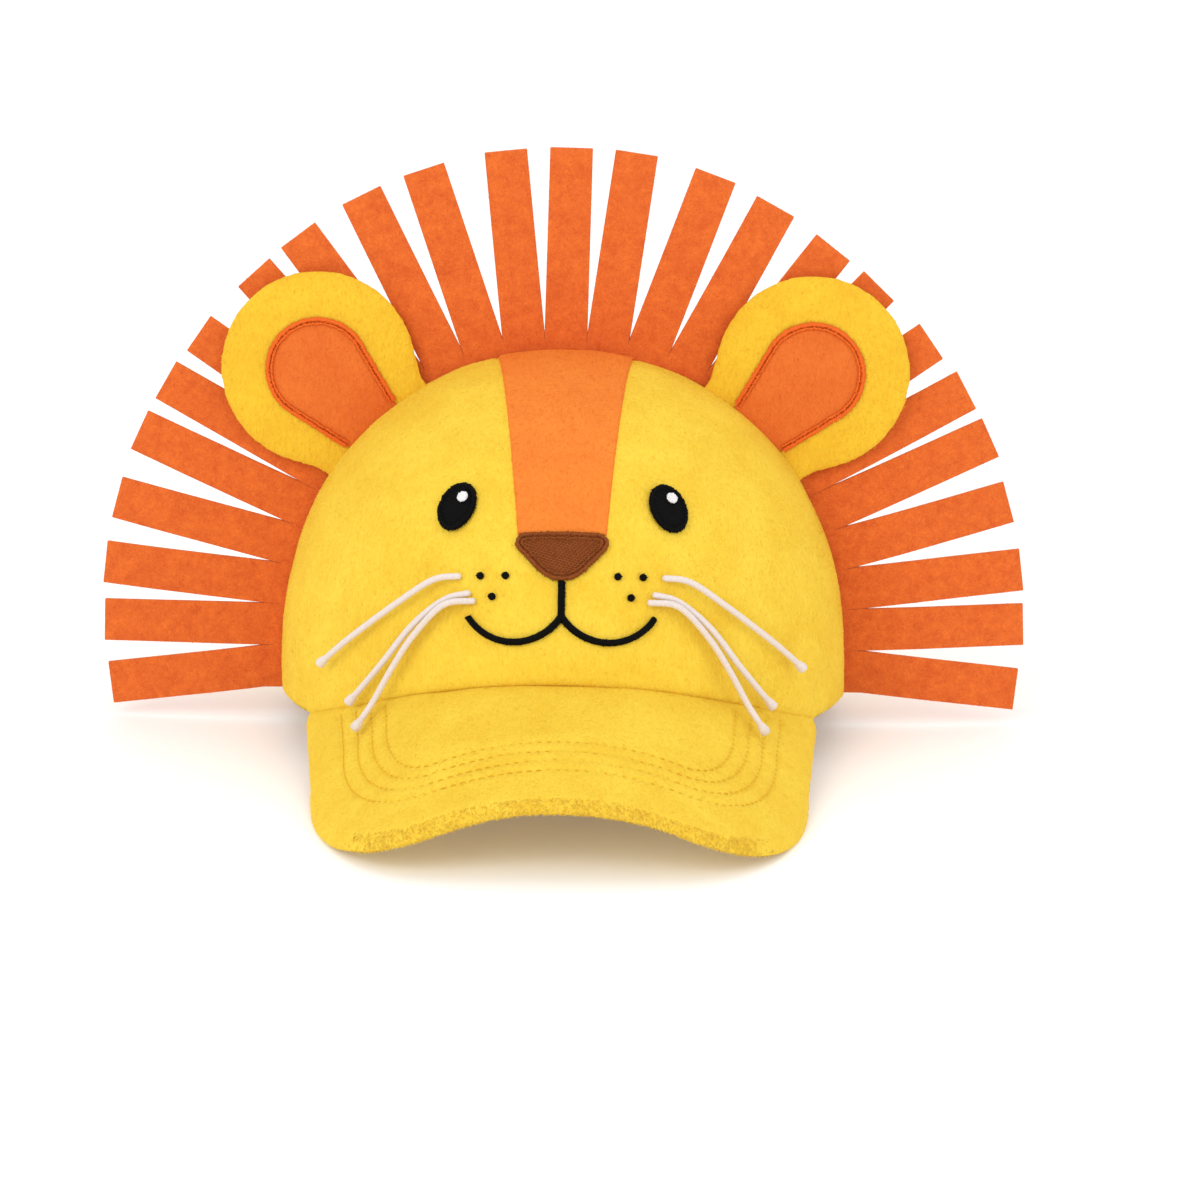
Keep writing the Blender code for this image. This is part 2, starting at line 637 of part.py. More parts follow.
def nose(parent):
    """The brown nose and its satin-stitched border."""
    spot = crown_spot(0.0, NOSE_RISE)
    outline = nose_outline()
    brown = material("thread_brown", THREAD_BROWN, 0.5)
    filling = inset(outline, NOSE_BORDER + CLEARANCE, True)
    face_patch("nose", spot, filling, CLEARANCE, STITCHING / 2, brown, parent)
    face_band("nose_border", spot, outline, inset(outline, NOSE_BORDER, True), True, brown, parent)


def mouth(parent):
    """The line below the nose and the two arcs of the mouth, stitched as one."""
    spot = crown_spot(0.0, NOSE_RISE)
    black = material("thread_black", THREAD_BLACK, 0.4)
    nose_tip = -NOSE_HEIGHT / 2 - CLEARANCE
    half = MOUTH_LINE / 2
    fork = nose_tip - MOUTH_DROP
    reach = MOUTH_ARC_RADIUS * math.sin(MOUTH_ARC_HALF_SPAN)
    sink = MOUTH_ARC_RADIUS * math.cos(MOUTH_ARC_HALF_SPAN)
    down = -math.pi / 2
    drop = [Vector((0, nose_tip - MOUTH_DROP * step / 4)) for step in range(5)]
    lines = {"mouth": drop}
    for name, side in (("mouth_left", -1), ("mouth_right", 1)):
        centre = Vector((side * reach, fork + sink))
        span = MOUTH_ARC_HALF_SPAN
        lines[name] = arc(centre, MOUTH_ARC_RADIUS, down - span, down + span, 16)
    pieces = {}
    for name, line in lines.items():
        edges = [inset(line, side * half, False) for side in (-1, 1)]
        pieces[name] = face_band(name, spot, edges[0], edges[1], False, black, parent)
    for arm in ("mouth_left", "mouth_right"):
        boolean(pieces["mouth"], "UNION", pieces[arm])


def freckles(parent):
    """Three dots on each cheek."""
    black = material("thread_black", THREAD_BLACK, 0.4)
    circle = arc(Vector((0, 0)), FRECKLE_RADIUS, 0, 2 * math.pi, 10)[:-1]
    for name, side in (("left", -1), ("right", 1)):
        for number, (turn, rise) in enumerate(FRECKLES, 1):
            spot = crown_spot(side * math.radians(turn), math.radians(rise))
            face_patch(f"freckle_{name}_{number}", spot, circle, CLEARANCE, STITCHING, black, parent)


def smooth_route(points, spacing):
    """Points at an even spacing on a smooth curve through a cord's route."""
    ends = [points[0] * 2 - points[1]] + list(points) + [points[-1] * 2 - points[-2]]
    fine = []
    for before, start, end, after in zip(ends, ends[1:], ends[2:], ends[3:]):
        for step in range(12):
            share = step / 12
            fine.append(0.5 * (
                2 * start
                + (end - before) * share
                + (2 * before - 5 * start + 4 * end - after) * share ** 2
                + (3 * start - before - 3 * end + after) * share ** 3
            ))
    fine.append(points[-1])
    total = path_length(fine)
    count = round(total / spacing)
    return [walk(fine, total * step / count) for step in range(count + 1)]


def whisker(name, route, parent):
    """A round cord with a flared free end."""
    look = material("whisker_cord", THREAD_WHITE, 0.8)
    points = smooth_route(route, WHISKER_DIAMETER * WHISKER_POINT_SPACING)
    flared = (points[-1] - points[-2]).normalized() * WHISKER_DIAMETER
    points += [points[-1] + flared * share for share in (0.5, 0.9, 1.15)]
    radii = [1.0] * (len(points) - 3) + [WHISKER_FLARE * 0.9, WHISKER_FLARE, WHISKER_FLARE * 0.6]
    curve = bpy.data.curves.new(name, "CURVE")
    curve.dimensions = "3D"
    curve.bevel_depth = WHISKER_DIAMETER / 2
    curve.bevel_resolution = 2
    curve.use_fill_caps = True
    line = curve.splines.new("POLY")
    line.points.add(len(points) - 1)
    for target, place, radius in zip(line.points, points, radii):
        target.co = (*place, 1.0)
        target.radius = radius
    curve.materials.append(look)
    piece = bpy.data.objects.new(name, curve)
    piece.parent = parent
    bpy.context.collection.objects.link(piece)
    return piece


def whiskers(parent):
    """Three whiskers on each cheek, the right ones mirrored, each starting on the crown."""
    for name, side in (("left", 1), ("right", -1)):
        for place, points in WHISKER_ROUTES.items():
            route = [Vector((side * x, y, z)) * MM for x, y, z in points]
            route[0] = crown_skin(route[0], WHISKER_DIAMETER / 2 + CLEARANCE)
            whisker(f"whisker_{name}_{place}", route, parent)


def rest_on_ground(hat, peak_piece, standing):
    """Tip the hat back on its hem until the peak's corners touch the ground, and centre it."""
    heel = CROWN_BACK_DEPTH + FELT_SIDE
    tip = max(math.atan2(-vertex.co.z, heel - vertex.co.y) for vertex in peak_piece.data.vertices)
    hat.rotation_euler = (-tip, 0, 0)
    bpy.context.view_layer.update()
    corners = []
    shapes = bpy.context.evaluated_depsgraph_get()
    for piece in standing:
        shown = piece.evaluated_get(shapes)
        corners += [shown.matrix_world @ vertex.co for vertex in shown.to_mesh().vertices]
        shown.to_mesh_clear()
    for axis in (0, 1):
        places = [corner[axis] for corner in corners]
        hat.location[axis] = -(min(places) + max(places)) / 2
    hat.location.z = -min(corner.z for corner in corners)


def build_hat():
    for item in list(bpy.data.objects):
        bpy.data.objects.remove(item, do_unlink=True)
    hat = bpy.data.objects.new("hat", None)
    bpy.context.collection.objects.link(hat)
    crown_half("crown_front", True, hat)
    crown_half("crown_back", False, hat)
    peak_piece = peak(hat)
    mane(hat)
    cutter = crown_cutter(hat)
    for name, side in (("left", -1), ("right", 1)):
        ear(f"ear_{name}", side, cutter, hat)
        inner_ear(f"inner_ear_{name}", side, cutter, hat)
        inner_ear_border(f"inner_ear_border_{name}", side, cutter, hat)
        eye(side, hat)
    forehead_stripe(hat)
    nose(hat)
    mouth(hat)
    freckles(hat)
    standing = [piece for piece in hat.children if not piece.hide_render]
    whiskers(hat)
    rest_on_ground(hat, peak_piece, standing)


build_hat()
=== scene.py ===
import json
import math

import bpy
import numpy as np
from mathutils import Matrix, Vector, noise
from mathutils.bvhtree import BVHTree
from mathutils.geometry import convex_hull_2d


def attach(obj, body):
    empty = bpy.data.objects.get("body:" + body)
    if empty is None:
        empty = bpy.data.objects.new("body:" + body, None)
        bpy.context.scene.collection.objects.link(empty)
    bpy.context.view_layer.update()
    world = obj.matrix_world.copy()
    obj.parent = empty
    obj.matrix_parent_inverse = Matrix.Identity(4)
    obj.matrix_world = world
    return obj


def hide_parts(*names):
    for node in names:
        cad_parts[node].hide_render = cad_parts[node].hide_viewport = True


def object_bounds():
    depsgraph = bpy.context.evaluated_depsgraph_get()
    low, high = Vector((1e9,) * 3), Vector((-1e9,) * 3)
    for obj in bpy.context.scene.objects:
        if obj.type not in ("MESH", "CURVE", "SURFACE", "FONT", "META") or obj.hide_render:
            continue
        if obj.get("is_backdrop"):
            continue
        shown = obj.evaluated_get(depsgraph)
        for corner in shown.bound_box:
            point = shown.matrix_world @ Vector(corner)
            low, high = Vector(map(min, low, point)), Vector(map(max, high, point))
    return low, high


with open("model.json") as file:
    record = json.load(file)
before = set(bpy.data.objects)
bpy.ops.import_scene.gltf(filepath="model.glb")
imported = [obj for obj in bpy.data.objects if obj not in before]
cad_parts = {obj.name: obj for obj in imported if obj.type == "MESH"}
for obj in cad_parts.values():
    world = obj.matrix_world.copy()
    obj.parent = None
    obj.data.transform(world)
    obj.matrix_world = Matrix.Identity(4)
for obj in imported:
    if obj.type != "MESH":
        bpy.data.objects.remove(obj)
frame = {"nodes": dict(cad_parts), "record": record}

# The view: a long lens, a little above the brow of the hat. The hat stands tipped back on the front corners
# of its peak and the back of its hem, so each piece below is modelled in the hat's own frame, with the hem's
# plane at z = 0, the mane's felt at y = 0 and the face towards -Y, and is then tipped with it.
MM = 0.001
VIEW_RISE = math.radians(9.5)
VIEW_ROLL = math.radians(0.6)
VIEW_DISTANCE = 1500 * MM
VIEW_WIDTH = 329.5 * MM
VIEW_MIDDLE = Vector((10.0 * MM, 0, 25.0 * MM))
cad_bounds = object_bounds()
bpy.ops.object.select_all(action="DESELECT")
back_hem = next(mount for mount in frame["record"]["mounts"] if mount["name"] == "back_hem")
tip_back = Matrix.Rotation(math.atan2(back_hem["axis"][1], -back_hem["axis"][2]), 4, "X")


def values_of(items, name, kind=np.float32, width=3):
    """One property of all the items of a mesh, as rows of numbers."""
    values = np.empty(len(items) * width, kind)
    items.foreach_get(name, values)
    return values.reshape(-1, width)


def corners_of(node, placing):
    """A node's corners, measured in a frame with the given placing."""
    back = np.array(placing.inverted())
    return values_of(frame["nodes"][node].data.vertices, "co") @ back[:3, :3].T + back[:3, 3]


front_wall = corners_of("crown_front", tip_back)
back_wall = corners_of("crown_back", tip_back)
seam_foot = Vector((
    (front_wall[:, 0].min() + front_wall[:, 0].max()) / 2,
    (front_wall[:, 1].max() + back_wall[:, 1].min()) / 2,
    back_wall[:, 2].min(),
))
HAT = tip_back @ Matrix.Translation(seam_foot)

bpy.ops.object.camera_add()
camera = bpy.context.object
camera.name = "view_of_the_face"
camera.data.lens = camera.data.sensor_width * VIEW_DISTANCE / VIEW_WIDTH
aim = Matrix.Rotation(math.radians(90) - VIEW_RISE, 4, "X") @ Matrix.Rotation(VIEW_ROLL, 4, "Z")
camera.matrix_world = HAT @ Matrix.Translation(VIEW_MIDDLE) @ aim @ Matrix.Translation((0, 0, VIEW_DISTANCE))
bpy.context.scene.camera = camera

# Whiskers: six lengths of waxed white cotton cord of three strands, sewn through the cheeks from inside.
# They droop from the face under their own weight, and each free end is sealed with heat, which flares it.
CLEARANCE = 0.3 * MM
MERGE = 0.02 * MM
CROWN_FULLNESS = 2.12
CROWN_STRAIGHT = 11.0 * MM
WHISKER_DIAMETER = 1.7 * MM
WHISKER_FLARE = 1.65
WHISKER_STEP = 0.45 * MM
WHISKER_LAY = 4.2 * MM
WHISKER_STRANDS = 3
WHISKER_FURROW = 0.1
WHISKER_SIDES = 18
WHISKER_TIP = np.linspace(0.1, 1.15, 7)
WHISKER_END = ((0, 0.12, 0.5, 1.3, 2.2), (0.8, 1.0, 0.97, 0.68, 0.0))
WHISKER_POINT = 0.02
ROUTE_PARTS = 12
WHISKER_ROUTES = {
    "upper": (
        (-26.1, -78.2, 44.2), (-33.4, -77.0, 42.8), (-42.7, -73.6, 36.2), (-54.0, -66.2, 26.6),
        (-59.4, -61.1, 21.4), (-63.0, -56.9, 17.5),
    ),
    "middle": (
        (-23.6, -80.9, 40.3), (-30.6, -80.2, 38.0), (-38.8, -77.8, 30.9), (-46.2, -74.3, 20.9),
        (-51.8, -70.1, 13.4), (-55.0, -67.0, 9.2),
    ),
    "lower": (
        (-22.4, -82.6, 38.5), (-30.6, -82.0, 37.0), (-38.4, -78.8, 28.4), (-43.9, -76.7, 19.6),
        (-48.6, -75.6, 10.8), (-51.4, -77.4, 6.6), (-52.8, -79.7, 4.9),
    ),
}
felt_side = (back_wall[:, 1].min() - front_wall[:, 1].max()) / 2
crown_half_width = np.ptp(front_wall[:, 0]) / 2
crown_depth = {
    -1: seam_foot.y - front_wall[:, 1].min() - felt_side,
    1: back_wall[:, 1].max() - seam_foot.y - felt_side,
}
crown_dome = front_wall[:, 2].max() - seam_foot.z - CROWN_STRAIGHT


def unit(ways):
    """Directions, each brought to a length of one."""
    return ways / np.maximum(np.linalg.norm(ways, axis=-1, keepdims=True), 1e-12)


def crown_skin(points, lift, facing=-1):
    """Where the crown's outside lies towards some points, lifted square to it. Facing 1 is its back."""
    centre = np.array((0, facing * felt_side, CROWN_STRAIGHT))
    size = np.array((crown_half_width, crown_depth[facing], crown_dome))
    arm = (np.asarray(points, float) - centre) / size
    spread = np.hypot(arm[..., 0], arm[..., 1])
    rise = np.maximum(arm[..., 2], 0)
    reach = (spread ** CROWN_FULLNESS + rise ** CROWN_FULLNESS) ** (1 / CROWN_FULLNESS)
    on_skin = arm / reach[..., None]
    on_skin[..., 2] = np.where(arm[..., 2] < 0, arm[..., 2], on_skin[..., 2])
    slope = on_skin / size * ((spread / reach) ** (CROWN_FULLNESS - 2))[..., None]
    slope[..., 2] = (rise / reach) ** (CROWN_FULLNESS - 1) / size[2]
    return centre + on_skin * size + unit(slope) * np.asarray(lift)[..., None]


def linear(code):
    """The linear colour of an sRGB hex value."""
    shares = [int(code[place:place + 2], 16) / 255 for place in (1, 3, 5)]
    return (*[share / 12.92 if share <= 0.04045 else ((share + 0.055) / 1.055) ** 2.4 for share in shares], 1)


def add_node(tree, kind, inputs, **settings):
    """Add a node. Each input is a plain value, or the socket that feeds it."""
    node = tree.nodes.new(kind)
    for name, value in settings.items():
        setattr(node, name, value)
    for name, value in inputs.items():
        if isinstance(value, bpy.types.NodeSocket):
            tree.links.new(value, node.inputs[name])
        else:
            node.inputs[name].default_value = value
    return node


def new_material(name, colour, roughness, **finish):
    """A material with its nodes and its shader, to which a pattern is then added."""
    material = bpy.data.materials.new(name)
    material.use_nodes = True
    shader = material.node_tree.nodes["Principled BSDF"]
    shader.inputs["Base Color"].default_value = linear(colour)
    shader.inputs["Roughness"].default_value = roughness
    for socket, value in finish.items():
        shader.inputs[socket.replace("_", " ")].default_value = value
    return material, material.node_tree, shader


def waxed_cord():
    """Waxed cotton: matt off-white with a faint pink cast, a darker pinkish tone at random, and fine fibres
    along the strands.
    """
    material, tree, shader = new_material("waxed_cotton_cord", "#E4DAD5", 0.75, Sheen_Weight=0.3)
    places = add_node(tree, "ShaderNodeTexCoord", {})
    stretch = add_node(tree, "ShaderNodeMapping", {"Vector": places.outputs["UV"], "Scale": (60, 14, 1)})
    fibres = add_node(tree, "ShaderNodeTexNoise", {
        "Vector": stretch.outputs["Vector"], "Scale": 1, "Detail": 3,
    })
    tint = add_node(tree, "ShaderNodeMix", {
        0: fibres.outputs["Fac"], 6: linear("#CDBDB6"), 7: linear("#EBE1DC"),
    }, data_type="RGBA")
    bump = add_node(tree, "ShaderNodeBump", {
        "Strength": 0.5, "Distance": 0.1 * MM, "Height": fibres.outputs["Fac"],
    })
    tree.links.new(tint.outputs[2], shader.inputs["Base Color"])
    tree.links.new(bump.outputs["Normal"], shader.inputs["Normal"])
    return material


def surface(name, columns, rows, place):
    """A cloth-like sheet with a UV map, laid where place puts its shares across and up."""
    bpy.ops.mesh.primitive_grid_add(x_subdivisions=columns, y_subdivisions=rows, size=2)
    piece = bpy.context.object
    piece.name = name
    piece.data.name = name
    shares = values_of(piece.data.vertices, "co")[:, :2] / 2 + 0.5
    laid = place(shares[:, 0].astype(float), shares[:, 1].astype(float))
    piece.data.vertices.foreach_set("co", laid.astype(np.float32).ravel())
    edit_all(piece, bpy.ops.mesh.remove_doubles, threshold=MERGE)
    return piece


def edit_all(piece, operator, **settings):
    """Run a mesh operator over the whole of a piece."""
    bpy.context.view_layer.objects.active = piece
    bpy.ops.object.mode_set(mode="EDIT")
    bpy.ops.mesh.select_all(action="SELECT")
    operator(**settings)
    bpy.ops.object.mode_set(mode="OBJECT")


def turn_faces_out(piece):
    """Turn a closed piece's faces outwards."""
    edit_all(piece, bpy.ops.mesh.normals_make_consistent, inside=False)


def modify(piece, kind, **settings):
    """Shape a piece with a modifier, and apply it."""
    modifier = piece.modifiers.new(kind.lower(), kind)
    for name, value in settings.items():
        setattr(modifier, name, value)
    bpy.context.view_layer.objects.active = piece
    bpy.ops.object.modifier_apply(modifier=modifier.name)


def finish_piece(piece, materials=(), replaced=()):
    """Tip a finished piece with the hat, press it level with the floor, dress it, and replace its nodes."""
    piece.data.transform(HAT)
    for vertex in piece.data.vertices:
        vertex.co.z = max(vertex.co.z, 0)
    for material in materials:
        piece.data.materials.append(material)
    piece.data.shade_smooth()
    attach(piece, "root")
    if replaced:
        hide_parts(*replaced)
    piece.select_set(False)


def smooth_route(points, step):
    """Points at even steps on a smooth curve through a few points."""
    points = np.asarray(points, float)
    ends = np.vstack((2 * points[0] - points[1], points, 2 * points[-1] - points[-2]))
    share = np.linspace(0, 1, ROUTE_PARTS, endpoint=False)[:, None]
    fine = [
        0.5 * (2 * start + (end - before) * share + (2 * before - 5 * start + 4 * end - after) * share ** 2
               + (3 * start - before - 3 * end + after) * share ** 3)
        for before, start, end, after in zip(ends, ends[1:], ends[2:], ends[3:])
    ]
    return even_steps(np.vstack((*fine, points[-1:])), step)


def even_steps(line, step):
    """Points at even steps along a polyline, about a step apart."""
    stretches = np.linalg.norm(np.diff(line, axis=0), axis=1)
    along = np.concatenate(((0,), np.cumsum(stretches)))
    places = np.linspace(0, along[-1], max(2, round(along[-1] / step) + 1))
    return np.column_stack([np.interp(places, along, line[:, axis]) for axis in range(line.shape[1])])


def whisker(node, mirrored, route_points, cord):
    """One whisker: a tube of three twisted strands, rounded at its root and flared at its free end."""
    route_points = np.array(route_points) * (mirrored, 1, 1) * MM
    route_points[0] = crown_skin(route_points[0], WHISKER_DIAMETER / 2 + CLEARANCE)
    route = smooth_route(route_points, WHISKER_STEP)
    tip = unit(route[-1] - route[-2])
    route = np.vstack((route, route[-1] + np.outer(WHISKER_TIP, tip) * WHISKER_DIAMETER))
    distance = np.concatenate(((0,), np.cumsum(np.linalg.norm(np.diff(route, axis=0), axis=1))))
    to_tip = (distance[-1] - distance) / WHISKER_DIAMETER
    radii = WHISKER_DIAMETER / 2 * (1 + (WHISKER_FLARE - 1) * np.interp(to_tip, *WHISKER_END))
    root = np.sqrt(1 - (1 - np.clip(distance / WHISKER_DIAMETER, 0, 0.5) * 2) ** 2)
    radii *= root * (1 - WHISKER_POINT) + WHISKER_POINT
    radii[[0, -1]] = 0
    along = unit(np.gradient(route, axis=0))
    side = unit(np.cross(along, (0, -1, 0)))
    front = np.cross(side, along)

    def tube(share, around):
        ring = np.rint(share * (len(route) - 1)).astype(int)
        angle = 2 * math.pi * around
        strands = np.abs(np.cos(WHISKER_STRANDS / 2 * (angle - 2 * math.pi * distance[ring] / WHISKER_LAY)))
        radius = radii[ring] * (1 - WHISKER_FURROW * (1 - strands) ** 2)
        return (route[ring] + side[ring] * (np.cos(angle) * radius)[:, None]
                + front[ring] * (np.sin(angle) * radius)[:, None])

    piece = surface(f"{node}_cord", len(route) - 1, WHISKER_SIDES, tube)
    turn_faces_out(piece)
    path = [HAT @ Vector(point) for point in route[::2]]
    finish_piece(piece, [cord], [node])
    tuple(path[0])


cord = waxed_cord()
for side_name, mirrored in (("left", 1), ("right", -1)):
    for place_name, route_points in WHISKER_ROUTES.items():
        whisker(f"whisker_{side_name}_{place_name}", mirrored, route_points, cord)

# Crown: two half domes of yellow minky, a knitted polyester plush with a short brushed nap, over a knitted
# backing. They are sewn face to face with the felt of the mane between them and turned, so the plush rolls
# into the seam, and again at the hem. The embroidery presses it down, and it creases under the cheeks.
CROWN_COLUMNS = 200
CROWN_ROWS = 84
CROWN_GATHER = 0.6
CLOTH = 1.6 * MM
SEAM_ROLL = 1.7 * MM
HEM_SINK = 0.5 * MM
PRESS_REACH = 1.8 * MM
PRESS = 0.35 * MM
LUMPS = ((26 * MM, 0.55 * MM), (9 * MM, 0.2 * MM))
CREASES = (
    ((-36.9, -75.0, 30.5), (-38.7, -74.4, 28.0), (-40.6, -73.6, 25.4), (-41.1, -73.9, 22.3),
     (-38.9, -75.9, 13.9)),
    ((38.0, -74.9, 27.3), (39.9, -74.5, 23.3), (41.3, -73.9, 19.2), (42.4, -73.3, 14.3)),
)
CREASE_DEPTH = 0.7 * MM
CREASE_WIDTH = 2.2 * MM
NAP_LENGTH = 0.8 * MM
NAP_WIDTH = 0.2 * MM
NAP_FLATNESS = 0.32
NAP_LEAN = math.radians(80)
HAIR_LENGTH = 0.6 * MM
HAIR_WIDTH = 0.09 * MM
HAIR_LEAN = math.radians(62)
HAIR_SHARE = 0.2
NAP_UNEVEN = math.radians(7)
MOST_LEAN = math.radians(84)
NAP_CROSSING = 0.45
NAP_FORWARD = 0.25
NAP_REACHES = (0.6, 1.25)
NAP_OFF_FLOOR = 0.1 * MM
PLUSH_NAP = 0.9 / MM ** 2
PATCH_NAP = 1.4 / MM ** 2
NAP_PATCH = 16 * MM
NAP_SWIRL = 2.4
BARE_EMBROIDERY = 0.5 * MM
BARE_STRIPE = 0.35 * MM
PEAK_HALF_WIDTH = 68.3 * MM
PEAK_SEAM_RISE = 17.0 * MM
PEAK_SLOPE = math.radians(20.0)
crown_front = felt_side + crown_depth[-1]
peak_corner = crown_depth[-1] * (1 - math.sqrt(1 - (PEAK_HALF_WIDTH / crown_half_width) ** 2))
peak_corner_sag = (PEAK_SEAM_RISE + peak_corner * math.tan(PEAK_SLOPE)) * math.cos(PEAK_SLOPE)
peak_bend = (PEAK_HALF_WIDTH ** 2 + peak_corner_sag ** 2) / (2 * peak_corner_sag)


def peak_height(x, y, below=0.0):
    """How high the peak's bent sheet lies over a place in plan, or a depth below its upper face."""
    sag = peak_bend - np.sqrt(peak_bend ** 2 - np.minimum(np.abs(x), PEAK_HALF_WIDTH) ** 2)
    fall = (-y - crown_front) * math.tan(PEAK_SLOPE)
    return PEAK_SEAM_RISE - CLEARANCE - fall - (sag + below) / math.cos(PEAK_SLOPE)


def solid_of(*nodes):
    """A tree of the faces of some CAD nodes, to measure distances from."""
    corners, faces = [], []
    for node in nodes:
        mesh = frame["nodes"][node].data
        faces += [[index + len(corners) for index in face.vertices] for face in mesh.polygons]
        corners += [vertex.co.copy() for vertex in mesh.vertices]
    return BVHTree.FromPolygons(corners, faces)


def distance_to(solid, points, reach):
    """How far points of the hat lie from a solid, up to a reach."""
    found = [solid.find_nearest(HAT @ Vector(point), reach)[3] for point in points]
    return np.array([reach if distance is None else distance for distance in found])


def roll_in(distance, radius):
    """How far cloth has turned in where it lies a distance from a seam."""
    return radius * (1 - np.sqrt(1 - (1 - np.clip(distance / radius, 0, 1)) ** 2))


def lumps(points, sizes):
    """Soft uneven waves over points, as a height for each."""
    heights = np.zeros(len(points))
    for length, height in sizes:
        heights += [height * noise.noise(Vector(point) / length) for point in points]
    return heights


EMBROIDERY = [name for name in frame["nodes"] if name.split("_")[0] in ("eye", "nose", "mouth", "freckle")]
embroidery = solid_of(*EMBROIDERY)
stripe_solid = solid_of("forehead_stripe")
creases = [crown_skin(smooth_route(np.array(crease) * MM, MM), 0) for crease in CREASES]


def crown_wall(facing):
    """The place of each share across and up one half of the crown."""
    def place(across, up):
        across = across - CROWN_GATHER * np.sin(2 * math.pi * across) / (2 * math.pi)
        turn = math.pi * (1 - across if facing < 0 else across)
        x = crown_half_width * np.cos(turn)
        y = facing * crown_depth[facing] * np.sin(turn)
        on_peak = (facing < 0) & (np.abs(x) < PEAK_HALF_WIDTH)
        hem = np.where(on_peak, peak_height(x, y - felt_side) - HEM_SINK, 0)
        start = np.where(
            hem < CROWN_STRAIGHT,
            (hem - CROWN_STRAIGHT) / crown_dome,
            np.arcsin((np.maximum(hem - CROWN_STRAIGHT, 0) / crown_dome) ** (CROWN_FULLNESS / 2)),
        )
        rise = start + (math.pi / 2 - start) * up
        share = np.cos(np.maximum(rise, 0)) ** (2 / CROWN_FULLNESS)
        height = CROWN_STRAIGHT + crown_dome * np.where(
            rise < 0, rise, np.sin(np.maximum(rise, 0)) ** (2 / CROWN_FULLNESS))
        points = np.column_stack((x * share, facing * felt_side + y * share, height))
        lift = lumps(points, LUMPS)
        lift -= roll_in(np.abs(points[:, 1]) - felt_side, SEAM_ROLL)
        lift -= roll_in(height - hem, SEAM_ROLL)
        if facing < 0:
            for solid in (embroidery, stripe_solid):
                lift -= PRESS * (1 - distance_to(solid, points, PRESS_REACH) / PRESS_REACH) ** 2
            for crease in creases:
                away = np.linalg.norm(points[:, None] - crease, axis=2).min(axis=1)
                lift -= CREASE_DEPTH * np.exp(-(away / CREASE_WIDTH) ** 2)
        return crown_skin(points, lift, facing)
    return place


def add_thickness(piece, thickness, face, back):
    """Give a sheet of cloth its thickness inwards, its back and edges in a material of their own."""
    piece.data.materials.append(face)
    piece.data.materials.append(back)
    modify(piece, "SOLIDIFY", thickness=thickness, offset=-1, material_offset=1, material_offset_rim=1)


def minky(name, light, dark):
    """Minky: a velvety nap with a soft sheen, painted lighter and darker in broad random patches as painted
    sheen for its lean.
    """
    material, tree, shader = new_material(
        name, light, 0.9, Sheen_Weight=0.6, Sheen_Roughness=0.5, Sheen_Tint=linear(light))
    places = add_node(tree, "ShaderNodeTexCoord", {})
    # Broad patches of painted sheen: the lighter or darker look that the nap's lean gives under the lamps,
    # put into the colour.
    patches = add_node(tree, "ShaderNodeTexNoise", {
        "Vector": places.outputs["Object"], "Scale": 1 / (14 * MM), "Detail": 3, "Distortion": 0.6,
    })
    brushed = add_node(tree, "ShaderNodeMapping", {
        "Vector": places.outputs["Object"], "Scale": (1.5, 1, 0.6),
    })
    tufts = add_node(tree, "ShaderNodeTexNoise", {
        "Vector": brushed.outputs["Vector"], "Scale": 1 / (1.3 * MM), "Detail": 4, "Roughness": 0.7,
    })
    both = add_node(tree, "ShaderNodeMix", {0: 0.5, 2: patches.outputs["Fac"], 3: tufts.outputs["Fac"]})
    shade = add_node(tree, "ShaderNodeMapRange", {
        "Value": both.outputs[0], "From Min": 0.36, "From Max": 0.62,
    })
    tint = add_node(tree, "ShaderNodeMix", {
        0: shade.outputs["Result"], 6: linear(dark), 7: linear(light),
    }, data_type="RGBA")
    bump = add_node(tree, "ShaderNodeBump", {
        "Strength": 0.9, "Distance": 0.6 * MM, "Height": tufts.outputs["Fac"],
    })
    tree.links.new(tint.outputs[2], shader.inputs["Base Color"])
    tree.links.new(bump.outputs["Normal"], shader.inputs["Normal"])
    return material


def knit_backing():
    """Warp-knitted polyester: the smooth dull back of the minky, with fine ribs of loops."""
    material, tree, shader = new_material("warp_knitted_backing", "#E9BE3A", 0.85, Sheen_Weight=0.2)
    places = add_node(tree, "ShaderNodeTexCoord", {})
    ribs = add_node(tree, "ShaderNodeTexNoise", {
        "Vector": places.outputs["Object"], "Scale": 1 / (0.9 * MM), "Detail": 2,
    })
    bump = add_node(tree, "ShaderNodeBump", {
        "Strength": 0.4, "Distance": 0.2 * MM, "Height": ribs.outputs["Fac"],
    })
    tree.links.new(bump.outputs["Normal"], shader.inputs["Normal"])
    return material


def copies(name, corners, faces):
    """One mesh of many copies of a small shape, from the corners of each copy."""
    count, size = corners.shape[:2]
    mesh = bpy.data.meshes.new(name)
    flat = [[corner + size * number for corner in face] for number in range(count) for face in faces]
    mesh.from_pydata(corners.reshape(-1, 3), [], flat)
    piece = bpy.data.objects.new(name, mesh)
    bpy.context.collection.objects.link(piece)
    return piece


